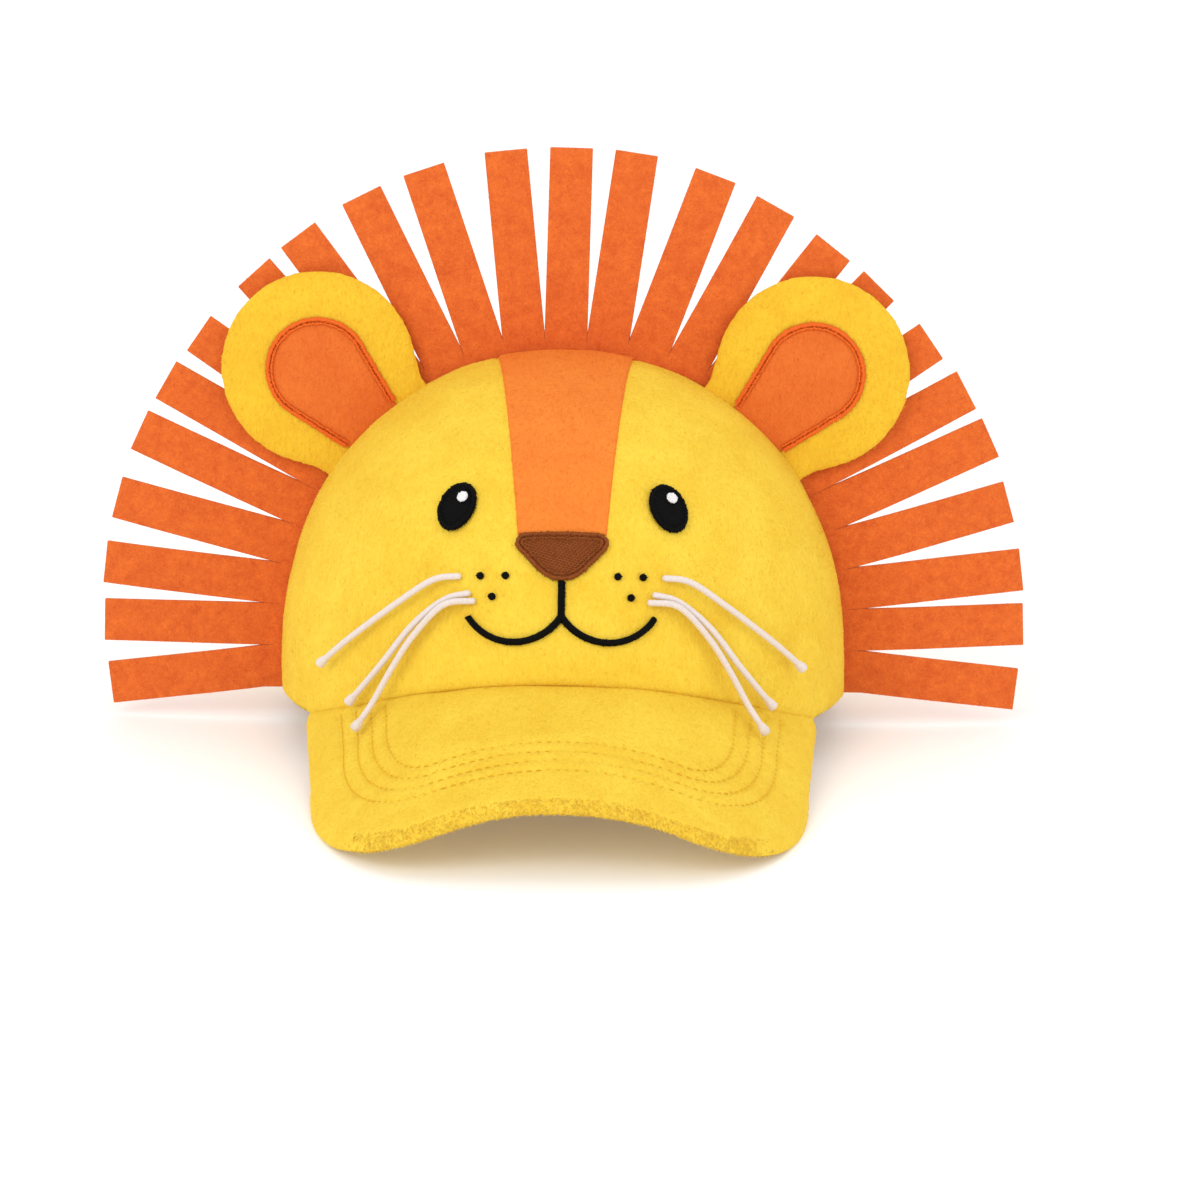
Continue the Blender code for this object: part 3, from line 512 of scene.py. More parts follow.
def grow_nap(name, ground, tones, density, shape=(NAP_LENGTH, NAP_WIDTH, NAP_LEAN), grows=None):
    """Nap over the face of a cloth: copies of one three-sided tuft, laid over by the same brush."""
    length, width, lean = shape
    mesh = ground.data
    mesh.calc_loop_triangles()
    on_face = values_of(mesh.loop_triangles, "material_index", np.int32, 1)[:, 0] == 0
    triangles = values_of(mesh.loop_triangles, "vertices", np.int32)[on_face]
    corners = values_of(mesh.vertices, "co").astype(float)
    ways = values_of(mesh.vertex_normals, "vector").astype(float)
    first, second, third = (corners[triangles[:, corner]] for corner in range(3))
    areas = np.linalg.norm(np.cross(second - first, third - first), axis=1) / 2
    draw = np.random.default_rng(len(name))
    chosen = triangles[draw.choice(len(areas), round(areas.sum() * density), p=areas / areas.sum())]
    mix = draw.dirichlet((1, 1, 1), len(chosen))[..., None]
    roots = (corners[chosen] * mix).sum(axis=1)
    outward = unit((ways[chosen] * mix).sum(axis=1))
    if grows is not None:
        kept = grows(roots)
        roots, outward = roots[kept], outward[kept]
    fall = np.tile((0, -NAP_FORWARD, -1.0), (len(roots), 1))
    fall = unit(fall - outward * (fall * outward).sum(axis=1, keepdims=True))
    swirl = np.array([NAP_SWIRL * noise.noise(Vector(root) / NAP_PATCH) for root in roots])
    swirl += draw.normal(0, NAP_CROSSING, len(roots))
    aside = np.cross(outward, fall)
    laid = fall * np.cos(swirl)[:, None] + aside * np.sin(swirl)[:, None]
    leans = np.clip(draw.normal(lean, NAP_UNEVEN, len(roots)), 0, MOST_LEAN)[:, None]
    along = laid * np.sin(leans) + outward * np.cos(leans)
    side = unit(np.cross(along, outward))
    other = np.cross(side, along)
    reach = length * draw.uniform(*NAP_REACHES, (len(roots), 1))
    tufts = np.stack((
        roots - side * width / 2, roots + side * width / 2, roots + other * width * NAP_FLATNESS,
        roots + along * reach,
    ), axis=1)
    tufts = tufts[tufts[:, 3] @ np.array(HAT)[2, :3] + HAT[2][3] > NAP_OFF_FLOOR]
    nap = copies(name, tufts, [[0, 1, 3], [1, 2, 3], [2, 0, 3], [2, 1, 0]])
    shades = np.repeat(draw.integers(0, len(tones), len(tufts)), 4).astype(np.int32)
    finish_piece(nap, tones)
    nap.data.polygons.foreach_set("material_index", shades)
    nap.data.shade_flat()


def cover_with_nap(name, ground, tones, density, grows=None):
    """Brushed nap that lies nearly flat, and a few finer hairs that stand up from it."""
    grow_nap(f"{name}_nap", ground, tones, density, grows=grows)
    hair = (HAIR_LENGTH, HAIR_WIDTH, HAIR_LEAN)
    grow_nap(f"{name}_hairs", ground, tones, density * HAIR_SHARE, hair, grows)


def nap_tones(name, colours):
    """Nap fibres of drawn polyester: soft-edged and dull, each with a little of the light behind it."""
    return [new_material(f"{name}_{number}", colour, 0.85, Sheen_Weight=0.5, Sheen_Tint=linear(colour))[0]
            for number, colour in enumerate(colours, 1)]


def clear_of_stitches(roots):
    """Where no embroidery and no stripe presses the nap down."""
    kept = distance_to(embroidery, roots, BARE_EMBROIDERY) >= BARE_EMBROIDERY
    kept[kept] = distance_to(stripe_solid, roots[kept], BARE_STRIPE) >= BARE_STRIPE
    return kept


yellow_minky = minky("yellow_minky", "#F4D13E", "#EBBE28")
backing = knit_backing()
yellow_tones = nap_tones("yellow_nap", ("#F8DB52", "#F3CE3C", "#E8BA28"))
for half, facing, grows in (("front", -1, clear_of_stitches), ("back", 1, None)):
    wall = surface(f"crown_{half}_plush", CROWN_COLUMNS, CROWN_ROWS, crown_wall(facing))
    add_thickness(wall, CLOTH, yellow_minky, backing)
    cover_with_nap(f"crown_{half}", wall, yellow_tones, PLUSH_NAP, grows)
    finish_piece(wall, replaced=[f"crown_{half}"])

# Forehead stripe: a tapered strip of orange minky, sewn on over the crown from the nose up into the seam.
# Its cut edges are turned under, so they roll down into the yellow plush on both sides.
STRIPE_COLUMNS = 44
STRIPE_ROWS = 110
STRIPE_ROUND = 1.6 * MM
STRIPE_LIFT = 0.6 * MM
STRIPE_SINK = 0.7 * MM
STRIPE_END = 0.5 * MM
stripe_corners = corners_of("forehead_stripe", HAT)
nose_top = stripe_corners[:, 2].min()
stripe_ends = [
    np.abs(stripe_corners[stripe_corners[:, 2] < nose_top + STRIPE_END, 0]).max(),
    np.abs(stripe_corners[:, 0]).max(),
]


def stripe(across, up):
    """The stripe's plush over the crown, its edges rolled under."""
    start = math.asin(((nose_top - CROWN_STRAIGHT) / crown_dome) ** (CROWN_FULLNESS / 2))
    rise = start + (math.pi / 2 - start) * up
    half_width = stripe_ends[0] + (stripe_ends[1] - stripe_ends[0]) * up
    side = np.sin((across - 0.5) * math.pi) * half_width
    middle = np.column_stack((
        side,
        -felt_side - crown_depth[-1] * np.cos(rise) ** (2 / CROWN_FULLNESS),
        CROWN_STRAIGHT + crown_dome * np.sin(rise) ** (2 / CROWN_FULLNESS),
    ))
    points = crown_skin(middle, 0)
    lift = STRIPE_LIFT + lumps(points, LUMPS)
    drop = STRIPE_LIFT + STRIPE_SINK
    lift -= roll_in(half_width - np.abs(side), STRIPE_ROUND) / STRIPE_ROUND * drop
    lift -= roll_in(np.abs(points[:, 1]) - felt_side, SEAM_ROLL) / SEAM_ROLL * (drop + SEAM_ROLL)
    return crown_skin(middle, lift)


orange_minky = minky("orange_minky", "#F18829", "#EA7820")
orange_tones = nap_tones("orange_nap", ("#F5943A", "#EF8529", "#E5751C"))
stripe_piece = surface("forehead_stripe_plush", STRIPE_COLUMNS, STRIPE_ROWS, stripe)
add_thickness(stripe_piece, CLOTH / 3, orange_minky, orange_minky)
cover_with_nap("forehead_stripe", stripe_piece, orange_tones, PATCH_NAP,
               lambda roots: distance_to(embroidery, roots, BARE_EMBROIDERY) >= BARE_EMBROIDERY)
finish_piece(stripe_piece, replaced=["forehead_stripe"])

# Embroidered face: eyes, nose, mouth and freckles, machine stitched in polyester thread through the plush
# before the crown was sewn up. Rims and lines are satin stitch, laid side by side across them, and the eyes
# and nose are filled with rows of short stitches. The nodes stay beneath as the stitched ground.
THREAD = 0.42 * MM
THREAD_PITCH = 0.34 * MM
THREAD_HEIGHT = 0.34 * MM
THREAD_BLUNTNESS = 1.7
FILL_PITCH = THREAD_PITCH * 1.3
FILL_STITCH = 1.5 * MM
FILL_SHIFT = 0.37
FILL_EDGE = 0.02 * MM
FILL_NARROWEST = 2.5
STITCH_JITTER = 0.24 * MM
STITCH_FULLNESS = 0.45
SATIN_SLANT = 0.6
OUTLINE_STEP = 0.2 * MM
EYE_RIM = 1.5 * MM
EYE_OVERHANG = 0.15 * MM
EYE_FILL_EDGE = 1.2 * MM
EYE_FILL_WAY = math.radians(25)
FRECKLE_FILL_WAY = math.radians(80)
NOSE_FILL_WAY = math.radians(12)
NOSE_RIM = 1.15 * MM
NOSE_OVERHANG = 0.2 * MM
NOSE_INNER_RIM = (1.3 * MM, 1.95 * MM)
NOSE_RISE = math.radians(26.2)
NOSE_HEIGHT = 13.0 * MM
MOUTH_LINE = 1.9 * MM
MOUTH_DROP = 9.2 * MM
MOUTH_ARC_RADIUS = 15.2 * MM
MOUTH_ARC_HALF_SPAN = math.radians(58.0)
STITCH_RISES = {
    "eye_fill": (1.0, 1.15), "eye_rim": (0.35, 1.3), "highlight": (1.45, 1.9), "freckle": (0.3, 1.25),
    "nose_fill": (0.65, 0.8), "nose_rim": (0.3, 1.35), "nose_inner_rim": (0.6, 1.1), "mouth": (0.3, 1.3),
}
chance = np.random.default_rng(4)


def embroidery_thread(name, colour, light, gloss):
    """Trilobal polyester embroidery thread: smooth, with a change of tone from thread to thread."""
    material, tree, shader = new_material(name, colour, gloss, Specular_IOR_Level=0.08)
    places = add_node(tree, "ShaderNodeTexCoord", {})
    tones = add_node(tree, "ShaderNodeTexNoise", {
        "Vector": places.outputs["Object"], "Scale": 1 / (0.8 * MM), "Detail": 2,
    })
    tint = add_node(tree, "ShaderNodeMix", {
        0: tones.outputs["Fac"], 6: linear(colour), 7: linear(light),
    }, data_type="RGBA")
    tree.links.new(tint.outputs[2], shader.inputs["Base Color"])
    return material


bpy.ops.mesh.primitive_uv_sphere_add(segments=6, ring_count=6, radius=1)
thread_shape = bpy.context.object
thread_corners = np.array([vertex.co[:] for vertex in thread_shape.data.vertices])
thread_faces = [list(face.vertices) for face in thread_shape.data.polygons]
bpy.data.objects.remove(thread_shape)
THREAD_SHARES = np.linspace(0, 1, 9)


def threads(name, lines, outward, width=THREAD, height=THREAD_HEIGHT):
    """Threads along lines of points: copies of one small ball, each drawn out along its own line."""
    shares = (1 - thread_corners[:, 2]) / 2
    round_share = np.minimum(np.hypot(thread_corners[:, 0], thread_corners[:, 1]) * THREAD_BLUNTNESS, 1)
    turn = np.arctan2(thread_corners[:, 1], thread_corners[:, 0])
    along = lines[:, -1] - lines[:, 0]
    side = unit(np.cross(along, outward))
    low = np.minimum((shares * (len(THREAD_SHARES) - 1)).astype(int), len(THREAD_SHARES) - 2)
    part = (shares * (len(THREAD_SHARES) - 1) - low)[None, :, None]
    middle = lines[:, low] * (1 - part) + lines[:, low + 1] * part
    corners = (middle
               + side[:, None] * (np.cos(turn) * round_share * width / 2)[None, :, None]
               + outward[:, None] * (np.sin(turn) * round_share * height / 2)[None, :, None])
    return copies(name, corners, thread_faces)


def spot_on_face(node):
    """A frame on the crown's skin under a node, and the node's outline about it."""
    corners = corners_of(node, HAT)
    spot = crown_skin(corners.mean(axis=0), 0.0)
    normal = unit(crown_skin(spot, MM) - spot)
    up = unit(np.array((0, 0, 1)) - normal * normal[2])
    right = np.cross(up, normal)
    flat = (corners - spot) @ np.column_stack((right, up))
    hull = flat[convex_hull_2d([tuple(point) for point in flat])]
    area = np.cross(hull, np.roll(hull, -1, axis=0)).sum()
    hull = hull if area > 0 else hull[::-1]
    return (spot, right, up), np.vstack((hull, hull[:1]))


def lay(spot, starts, ends, rises):
    """Lines of points over the skin from starts to ends, raised on the way, and their outward ways."""
    place, right, up = spot
    flat = starts[:, None] * (1 - THREAD_SHARES[:, None]) + ends[:, None] * THREAD_SHARES[:, None]
    points = place + flat[..., :1] * right + flat[..., 1:] * up
    lines = crown_skin(points, np.broadcast_to(rises, points.shape[:2]))
    return lines, unit(lines[:, 4] - crown_skin(points[:, 4], np.zeros(len(points))))


def across_line(line, outer, inner):
    """Satin stitches across a line, one beside the other, from a distance on its right to one on its left."""
    line = even_steps(line, THREAD_PITCH)
    along = unit(np.gradient(line, axis=0))
    left = np.column_stack((-along[:, 1], along[:, 0]))
    reach = chance.normal(0, STITCH_JITTER / 2, (2, len(line), 1))
    slant = along * THREAD_PITCH * SATIN_SLANT
    return line + left * (outer + reach[0]) - slant, line + left * (inner + reach[1]) + slant


def filling(outline, edge, angle):
    """Rows of short stitches that fill an outline up to a distance from its edge."""
    turn = np.array(((math.cos(angle), math.sin(angle)), (-math.sin(angle), math.cos(angle))))
    turned = outline @ turn.T
    starts, ends = [], []
    rows = np.arange(turned[:, 1].min() + edge, turned[:, 1].max() - edge, FILL_PITCH)
    for number, row in enumerate(rows):
        crossing = (turned[:-1, 1] - row) * (turned[1:, 1] - row) < 0
        share = (row - turned[:-1, 1][crossing]) / (turned[1:, 1] - turned[:-1, 1])[crossing]
        span = np.sort(turned[:-1, 0][crossing] + share * (turned[1:, 0] - turned[:-1, 0])[crossing])
        if span[-1] - span[0] < FILL_NARROWEST * edge:
            continue
        first, last = span[0] + edge, span[-1] - edge
        cuts = np.arange(first - FILL_STITCH * (number * FILL_SHIFT % 1), last, FILL_STITCH)
        cuts = np.unique(np.clip(np.append(cuts, last), first, last))
        starts += [(cut, row) for cut in cuts[:-1]]
        ends += [(cut, row) for cut in cuts[1:]]
    return np.array(starts) @ turn, np.array(ends) @ turn


def raised(low, high):
    """The rise of a stitch along its way: out of the cloth, over its ground and back."""
    return low + (high - low) * np.sin(math.pi * THREAD_SHARES) ** STITCH_FULLNESS


def sew(name, spot, stitches, rise, thread):
    """Sew stitches on the face at a spot."""
    rises = raised(*np.array(STITCH_RISES[rise]) * MM)
    finish_piece(threads(name, *lay(spot, *stitches, rises)), [thread])


black_thread = embroidery_thread("black_polyester_thread", "#020202", "#0B0A0A", 0.55)
white_thread = embroidery_thread("white_polyester_thread", "#DAD8D8", "#EFEDED", 0.5)
brown_thread = embroidery_thread("brown_polyester_thread", "#6E3514", "#9A5528", 0.5)
dark_brown_thread = embroidery_thread("dark_brown_polyester_thread", "#5E2A13", "#74381B", 0.6)

for side_name in ("left", "right"):
    eye, outline = spot_on_face(f"eye_{side_name}")
    outline = even_steps(outline, OUTLINE_STEP)
    sew(f"eye_{side_name}_fill", eye, filling(outline, EYE_FILL_EDGE, EYE_FILL_WAY),
        "eye_fill", black_thread)
    sew(f"eye_{side_name}_rim", eye, across_line(outline, -EYE_OVERHANG, EYE_RIM),
        "eye_rim", black_thread)
    highlight, outline = spot_on_face(f"eye_highlight_{side_name}")
    sew(f"eye_highlight_{side_name}_fill", highlight, filling(outline, FILL_EDGE, 0),
        "highlight", white_thread)
    for number in (1, 2, 3):
        freckle, outline = spot_on_face(f"freckle_{side_name}_{number}")
        sew(f"freckle_{side_name}_{number}_fill", freckle, filling(outline, FILL_EDGE, FRECKLE_FILL_WAY),
            "freckle", black_thread)

nose, outline = spot_on_face("nose_border")
outline = even_steps(outline, OUTLINE_STEP)
for part, stitches in (
    ("nose_fill", filling(outline, NOSE_INNER_RIM[0], NOSE_FILL_WAY)),
    ("nose_rim", across_line(outline, -NOSE_OVERHANG, NOSE_RIM)),
    ("nose_inner_rim", across_line(outline, *NOSE_INNER_RIM)),
):
    sew(part, nose, stitches, part, brown_thread)

nose_middle = crown_skin(np.array((0, -math.cos(NOSE_RISE), math.sin(NOSE_RISE)))
                         * crown_dome + (0, -felt_side, CROWN_STRAIGHT), 0.0)
nose_normal = unit(crown_skin(nose_middle, MM) - nose_middle)
mouth_up = unit(np.array((0, 0, 1)) - nose_normal * nose_normal[2])
mouth = (nose_middle, np.array((1, 0, 0)), mouth_up)
fork = -NOSE_HEIGHT / 2 - CLEARANCE - MOUTH_DROP
span = np.linspace(-MOUTH_ARC_HALF_SPAN, MOUTH_ARC_HALF_SPAN, 60)[:, None]
smile = np.hstack((np.sin(span), -np.cos(span)))
smile -= smile[0]
for name, line in (
    ("mouth_left", smile * MOUTH_ARC_RADIUS * (-1, 1) + (0, fork)),
    ("mouth_right", smile * MOUTH_ARC_RADIUS + (0, fork)),
    ("mouth_drop", np.array(((0, fork + MOUTH_DROP), (0, fork)))),
):
    sew(f"{name}_satin", mouth, across_line(line, -MOUTH_LINE / 2, MOUTH_LINE / 2),
        "mouth", black_thread)

GROUND_THREADS = {
    "eye": black_thread, "mouth": black_thread, "freckle": black_thread, "nose": dark_brown_thread,
}
for node in EMBROIDERY:
    thread = white_thread if "highlight" in node else GROUND_THREADS[node.split("_")[0]]
    frame["nodes"][node].material_slots[0].material = thread

# Peak: a stiff plastic blank bent to an arch, covered above and below with yellow minky and turned over its
# edge. Four rows of lockstitch in yellow thread run through both covers, and each row draws the plush down.
PEAK_FRONT_HALF_WIDTH = 65.0 * MM
PEAK_REACH = 52.3 * MM
PEAK_BOW = 2.0 * MM
PEAK_CORNER = np.array((33.0, 57.5)) * MM
PEAK_THICKNESS = 4.5 * MM
PEAK_UNDER_HEM = 2.5 * MM
PEAK_COLUMNS = 280
PEAK_ROWS = 150
PEAK_END = 0.008
PEAK_TURN_WAVES = 0.05
EDGE_STEP = 0.7 * MM
ROW_SIDE_INSETS = np.array((8.5, 12.2, 15.9, 19.6)) * MM
ROW_FRONT_INSETS = np.array((14.0, 18.3, 22.6, 26.9)) * MM
ROW_DEPTH = 0.5 * MM
ROW_WIDTH = 0.8 * MM
STITCH_PITCH = 2.4 * MM
STITCH_PARTS = 4
STITCH_PUCKER = 0.3
ROW_CLEAR_OF_CROWN = 1.01
ROW_BARE = ROW_WIDTH * 0.6
ROW_THREAD = 0.26 * MM
ROW_THREAD_RISE = (-0.2 * MM, 0.3 * MM)
ROW_THREAD_SEAT = ROW_DEPTH * 0.9
RIM_START = 24 * MM
RIM_HALF_WIDTH = 50 * MM
RIM_FADE = 10 * MM
RIM_REACH = 1.5 * MM
CURL_LENGTH = 0.9 * MM
CURL_WIDTH = 0.3 * MM
CURL_LEAN = math.radians(66)
CURL_NAP = 4.5 / MM ** 2


def peak_line(side_inset=0.0, front_inset=0.0):
    """The peak's free edge in plan from left to right at even steps, or a line that runs inside it."""
    front = PEAK_REACH - PEAK_BOW - front_inset
    side = PEAK_FRONT_HALF_WIDTH - side_inset
    corner = PEAK_CORNER - (side_inset, front_inset)
    centre = np.array((side, front)) - corner
    angle = np.linspace(0, math.pi / 2, 60)[:, None]
    half = np.vstack((
        np.linspace((PEAK_HALF_WIDTH - side_inset, -peak_corner), (side, centre[1]), 40)[:-1],
        centre + corner * np.hstack((np.cos(angle), np.sin(angle))),
        np.linspace((centre[0], front), (0, front), 20)[1:],
    ))
    bow = PEAK_BOW * (1 - (half[:, 0] / PEAK_FRONT_HALF_WIDTH) ** 2)
    half[:, 1] += np.where(half[:, 1] > 0, bow, 0)
    edge = np.vstack((half[:-1] * (-1, 1), half[::-1]))
    edge[:, 1] = -crown_front - edge[:, 1]
    return even_steps(edge, EDGE_STEP)


def stitch_rows():
    """The four rows of stitches in plan, where they run clear of the crown."""
    rows = []
    for side_inset, front_inset in zip(ROW_SIDE_INSETS, ROW_FRONT_INSETS):
        line = peak_line(side_inset, front_inset)
        from_crown = np.hypot(line[:, 0] / crown_half_width, (line[:, 1] + felt_side) / crown_depth[-1])
        rows.append(even_steps(line[from_crown > ROW_CLEAR_OF_CROWN], STITCH_PITCH / STITCH_PARTS))
    return rows


free_edge = peak_line()
peak_rows = stitch_rows()
edge_share = np.linspace(0, 1, len(free_edge))


def peak_cover(across, around):
    """The peak's cover: along its lower face from under the hem to the rim, and back along its upper face."""
    outer = np.column_stack([np.interp(across, edge_share, free_edge[:, axis]) for axis in (0, 1)])
    corner_turn = math.acos(PEAK_HALF_WIDTH / crown_half_width)
    turn = math.pi - corner_turn - (math.pi - 2 * corner_turn) * across
    inner = np.column_stack((
        (crown_half_width - PEAK_UNDER_HEM) * np.cos(turn),
        -felt_side - (crown_depth[-1] - PEAK_UNDER_HEM) * np.sin(turn),
    ))
    reach = np.linalg.norm(outer - inner, axis=1)
    rim = np.minimum(PEAK_THICKNESS / 2, reach / 2)
    in_from_edge = np.abs(2 * around - 1) * (reach + rim * (math.pi - 2))
    bend = np.clip(in_from_edge / rim, 0, math.pi / 2)
    heel = np.clip((reach + rim * (math.pi - 2) - in_from_edge) / rim, 0, math.pi / 2)
    distance = rim * (1 - np.cos(bend)) + np.maximum(in_from_edge - rim * math.pi / 2, 0)
    distance = np.minimum(distance, reach - rim + rim * np.cos(heel) * (heel < math.pi / 2))
    ends = np.sqrt(1 - (1 - np.clip(np.minimum(across, 1 - across) / PEAK_END, 0, 1)) ** 2)
    half = PEAK_THICKNESS / 2 * np.sin(bend) * np.sin(heel) * ends
    plan = outer + (inner - outer) * (distance / reach)[:, None]
    waves = lumps(np.column_stack((plan, around * PEAK_TURN_WAVES)), LUMPS)
    half += waves * np.sin(bend) * np.sin(heel) * ends
    for row in peak_rows:
        away = np.linalg.norm(plan[:, None] - row, axis=2)
        nearest = away.argmin(axis=1)
        pucker = 1 - STITCH_PUCKER * np.cos(2 * math.pi * nearest / STITCH_PARTS)
        half -= ROW_DEPTH * pucker * np.exp(-(away.min(axis=1) / ROW_WIDTH) ** 2)
    half = np.maximum(half, 0)
    below = PEAK_THICKNESS / 2 + np.where(around < 0.5, half, -half)
    return np.column_stack((plan, peak_height(plan[:, 0], plan[:, 1], below)))


cover = surface("peak_plush", PEAK_COLUMNS, PEAK_ROWS, peak_cover)
turn_faces_out(cover)
cover.data.materials.append(yellow_minky)
all_rows = np.vstack(peak_rows)


def plan_distance(roots, line):
    """How far points lie in plan from a line of points."""
    return np.array([np.linalg.norm(line - root[:2], axis=1).min() for root in roots])


def on_front_rim(roots):
    """Where the cover turns over the front edge of the peak."""
    ahead = -roots[:, 1] - crown_front
    fade = np.array([RIM_FADE * noise.noise(Vector(root) / MM) for root in roots])
    in_front = (ahead > RIM_START) & (np.abs(roots[:, 0]) + fade < RIM_HALF_WIDTH)
    return in_front & (plan_distance(roots, free_edge) < RIM_REACH)


cover_with_nap("peak", cover, yellow_tones, PLUSH_NAP,
               lambda roots: plan_distance(roots, all_rows) > ROW_BARE)
# The curls over the front rim take darker tones of the yellow nap: painted shade in the crinkled band along
# the edge.
rim_painted_shade_tones = nap_tones("rim_nap_painted_shade", ("#EECA3E", "#E2BA32", "#D6AB2A"))
curl = (CURL_LENGTH, CURL_WIDTH, CURL_LEAN)
grow_nap("peak_rim_curls", cover, rim_painted_shade_tones, CURL_NAP, curl, on_front_rim)
finish_piece(cover, replaced=["peak"])

row_thread = embroidery_thread("golden_sewing_thread", "#DFAE24", "#EBBC32", 0.6)
for number, row in enumerate(peak_rows, 1):
    holes = row[:(len(row) - 1) // STITCH_PARTS * STITCH_PARTS].reshape(-1, STITCH_PARTS, 2)
    plan = holes[:, :1] * (1 - THREAD_SHARES[:, None]) + holes[:, -1:] * THREAD_SHARES[:, None]
    height = peak_height(plan[..., 0], plan[..., 1], ROW_THREAD_SEAT - raised(*ROW_THREAD_RISE))
    lines = np.dstack((plan, height))
    upward = np.tile((0.0, -math.sin(PEAK_SLOPE), math.cos(PEAK_SLOPE)), (len(lines), 1))
    stitches = threads(f"peak_stitches_{number}", lines, upward, ROW_THREAD, ROW_THREAD)
    finish_piece(stitches, [row_thread])

# Ears: round pads of yellow minky, sewn face to face, turned and filled with loose polyester wadding. Their
# open bases are caught in the seam in front of the felt, and they lie flat against it behind.
EAR_SEAT = math.radians(50.0)
EAR_STAND = 21.0 * MM
EAR_RADIUS = 27.2 * MM
EAR_BASE_HALF_WIDTH = 19.0 * MM
EAR_PILE = 0.7 * MM
EAR_SEAM = 2.0 * MM
EAR_ROOT = 5.0 * MM
EAR_MIDDLE = 2.2 * MM
EAR_BULGE = 6.5 * MM
EAR_BACK_BULGE = 1.4 * MM
EAR_START = 0.6
EAR_GRID = (120, 40)
EAR_VOXEL = 1.0 * MM
EAR_SWELL = 3.0 * MM
EAR_PRESSURE = 4
EAR_FRAMES = 20
EAR_NAP = 1.1 / MM ** 2
EAR_SECTORS = 60
EAR_RELAXING = (12, 24, 3)
EAR_BACK = 0.4 * MM
INNER_EAR_RADIUS = 14.3 * MM
INNER_EAR_BASE_HALF_WIDTH = 9.6 * MM
INNER_EAR_BORDER = 2.1 * MM
INNER_EAR_RISE = 0.75 * MM
INNER_EAR_LOW = 0.05 * MM
INNER_EAR_FULLNESS = 6
INNER_EAR_GRID = (110, 26)
EAR_SATIN = (0.0, 1.35 * MM, 0.95 * MM)
EAR_INNER_SATIN = (1.4 * MM, 2.1 * MM, 1.1 * MM)
EAR_SATIN_LOW = 0.4 * MM


def ear_places(side):
    """An ear's middle, and its directions across itself and away from the crown."""
    towards = np.array((math.cos(EAR_SEAT) / crown_half_width, math.sin(EAR_SEAT) / crown_dome))
    reach = (towards ** CROWN_FULLNESS).sum() ** (-1 / CROWN_FULLNESS)
    away = unit(towards ** (CROWN_FULLNESS - 1) / (crown_half_width, crown_dome))
    root = np.array((math.cos(EAR_SEAT), math.sin(EAR_SEAT))) * reach + (0, CROWN_STRAIGHT)
    middle = root + away * EAR_STAND
    return middle * (side, 1), np.array((away[1], -side * away[0])), away * (side, 1)


def ear_line(radius, base_half_width):
    """An ear's outline about its middle, closed across its base, at even steps."""
    base = np.array((base_half_width, -EAR_STAND))
    base_reach = max(math.hypot(*base), radius)
    start = math.atan2(base[1], base[0]) + math.acos(radius / base_reach)
    angle = np.linspace(start, math.pi - start, 80)[:, None]
    root = base - (0, EAR_ROOT)
    top = radius * np.hstack((np.cos(angle), np.sin(angle)))
    return even_steps(np.vstack((root, base, top, base * (-1, 1), root * (-1, 1), root)), EDGE_STEP)


def ear_pad(name, side):
    """One ear: a thin closed pad that is blown up as cloth, held where it is sewn in."""
    middle, across, away = ear_places(side)
    line = ear_line(EAR_RADIUS - EAR_PILE, EAR_BASE_HALF_WIDTH - EAR_PILE)
    shares = np.linspace(0, 1, len(line))

    def pad(around, through):
        local = np.column_stack([np.interp(around, shares, line[:, axis]) for axis in (0, 1)])
        out = 1 - np.abs(2 * through - 1)
        local *= np.sin(out * math.pi / 2)[:, None]
        bulge = np.where(through < 0.5, EAR_BULGE * EAR_START, -EAR_BACK_BULGE) * np.cos(out * math.pi / 2)
        depth = -felt_side - EAR_MIDDLE - bulge
        flat = middle + local[:, :1] * across + local[:, 1:] * away
        return np.column_stack((flat[:, 0], depth, flat[:, 1]))

    piece = surface(name, *EAR_GRID, pad)
    turn_faces_out(piece)
    modify(piece, "REMESH", mode="VOXEL", voxel_size=EAR_VOXEL)
    relax(piece, EAR_RELAXING[0])
    sewn_up_to = EAR_SEAM - EAR_STAND
    blow_up(piece, EAR_SWELL, lambda point: (np.array((point.x, point.z)) - middle) @ away < sewn_up_to)
    relax(piece, EAR_RELAXING[1])
    fit_outline(piece, (middle, across, away), line)
    relax(piece, EAR_RELAXING[2])
    modify(piece, "SUBSURF", levels=1, render_levels=1)
    for vertex in piece.data.vertices:
        vertex.co.y = min(vertex.co.y, -felt_side - EAR_BACK)
    piece.data.materials.append(ear_painted_shade_minky)
    return piece


def relax(piece, times):
    """Even out a pad's surface."""
    modify(piece, "SMOOTH", factor=0.5, iterations=times)


def blow_up(piece, swell, is_sewn):
    """Fill a pad: its cloth is pressed outwards, held where it is sewn, and moves no further than swell."""
    start = [vertex.co.copy() for vertex in piece.data.vertices]
    sewn = piece.vertex_groups.new(name="sewn")
    sewn.add([index for index, place in enumerate(start) if is_sewn(place)], 1, "REPLACE")
    cloth = piece.modifiers.new("filling", "CLOTH")
    cloth.settings.use_pressure = True
    cloth.settings.uniform_pressure_force = EAR_PRESSURE
    cloth.settings.effector_weights.gravity = 0
    cloth.settings.vertex_group_mass = sewn.name
    for step in range(1, EAR_FRAMES + 1):
        bpy.context.scene.frame_set(step)
    bpy.ops.object.modifier_apply(modifier=cloth.name)
    bpy.context.scene.frame_set(1)
    for vertex, place in zip(piece.data.vertices, start):
        move = vertex.co - place
        vertex.co = place + move.normalized() * min(move.length, swell)


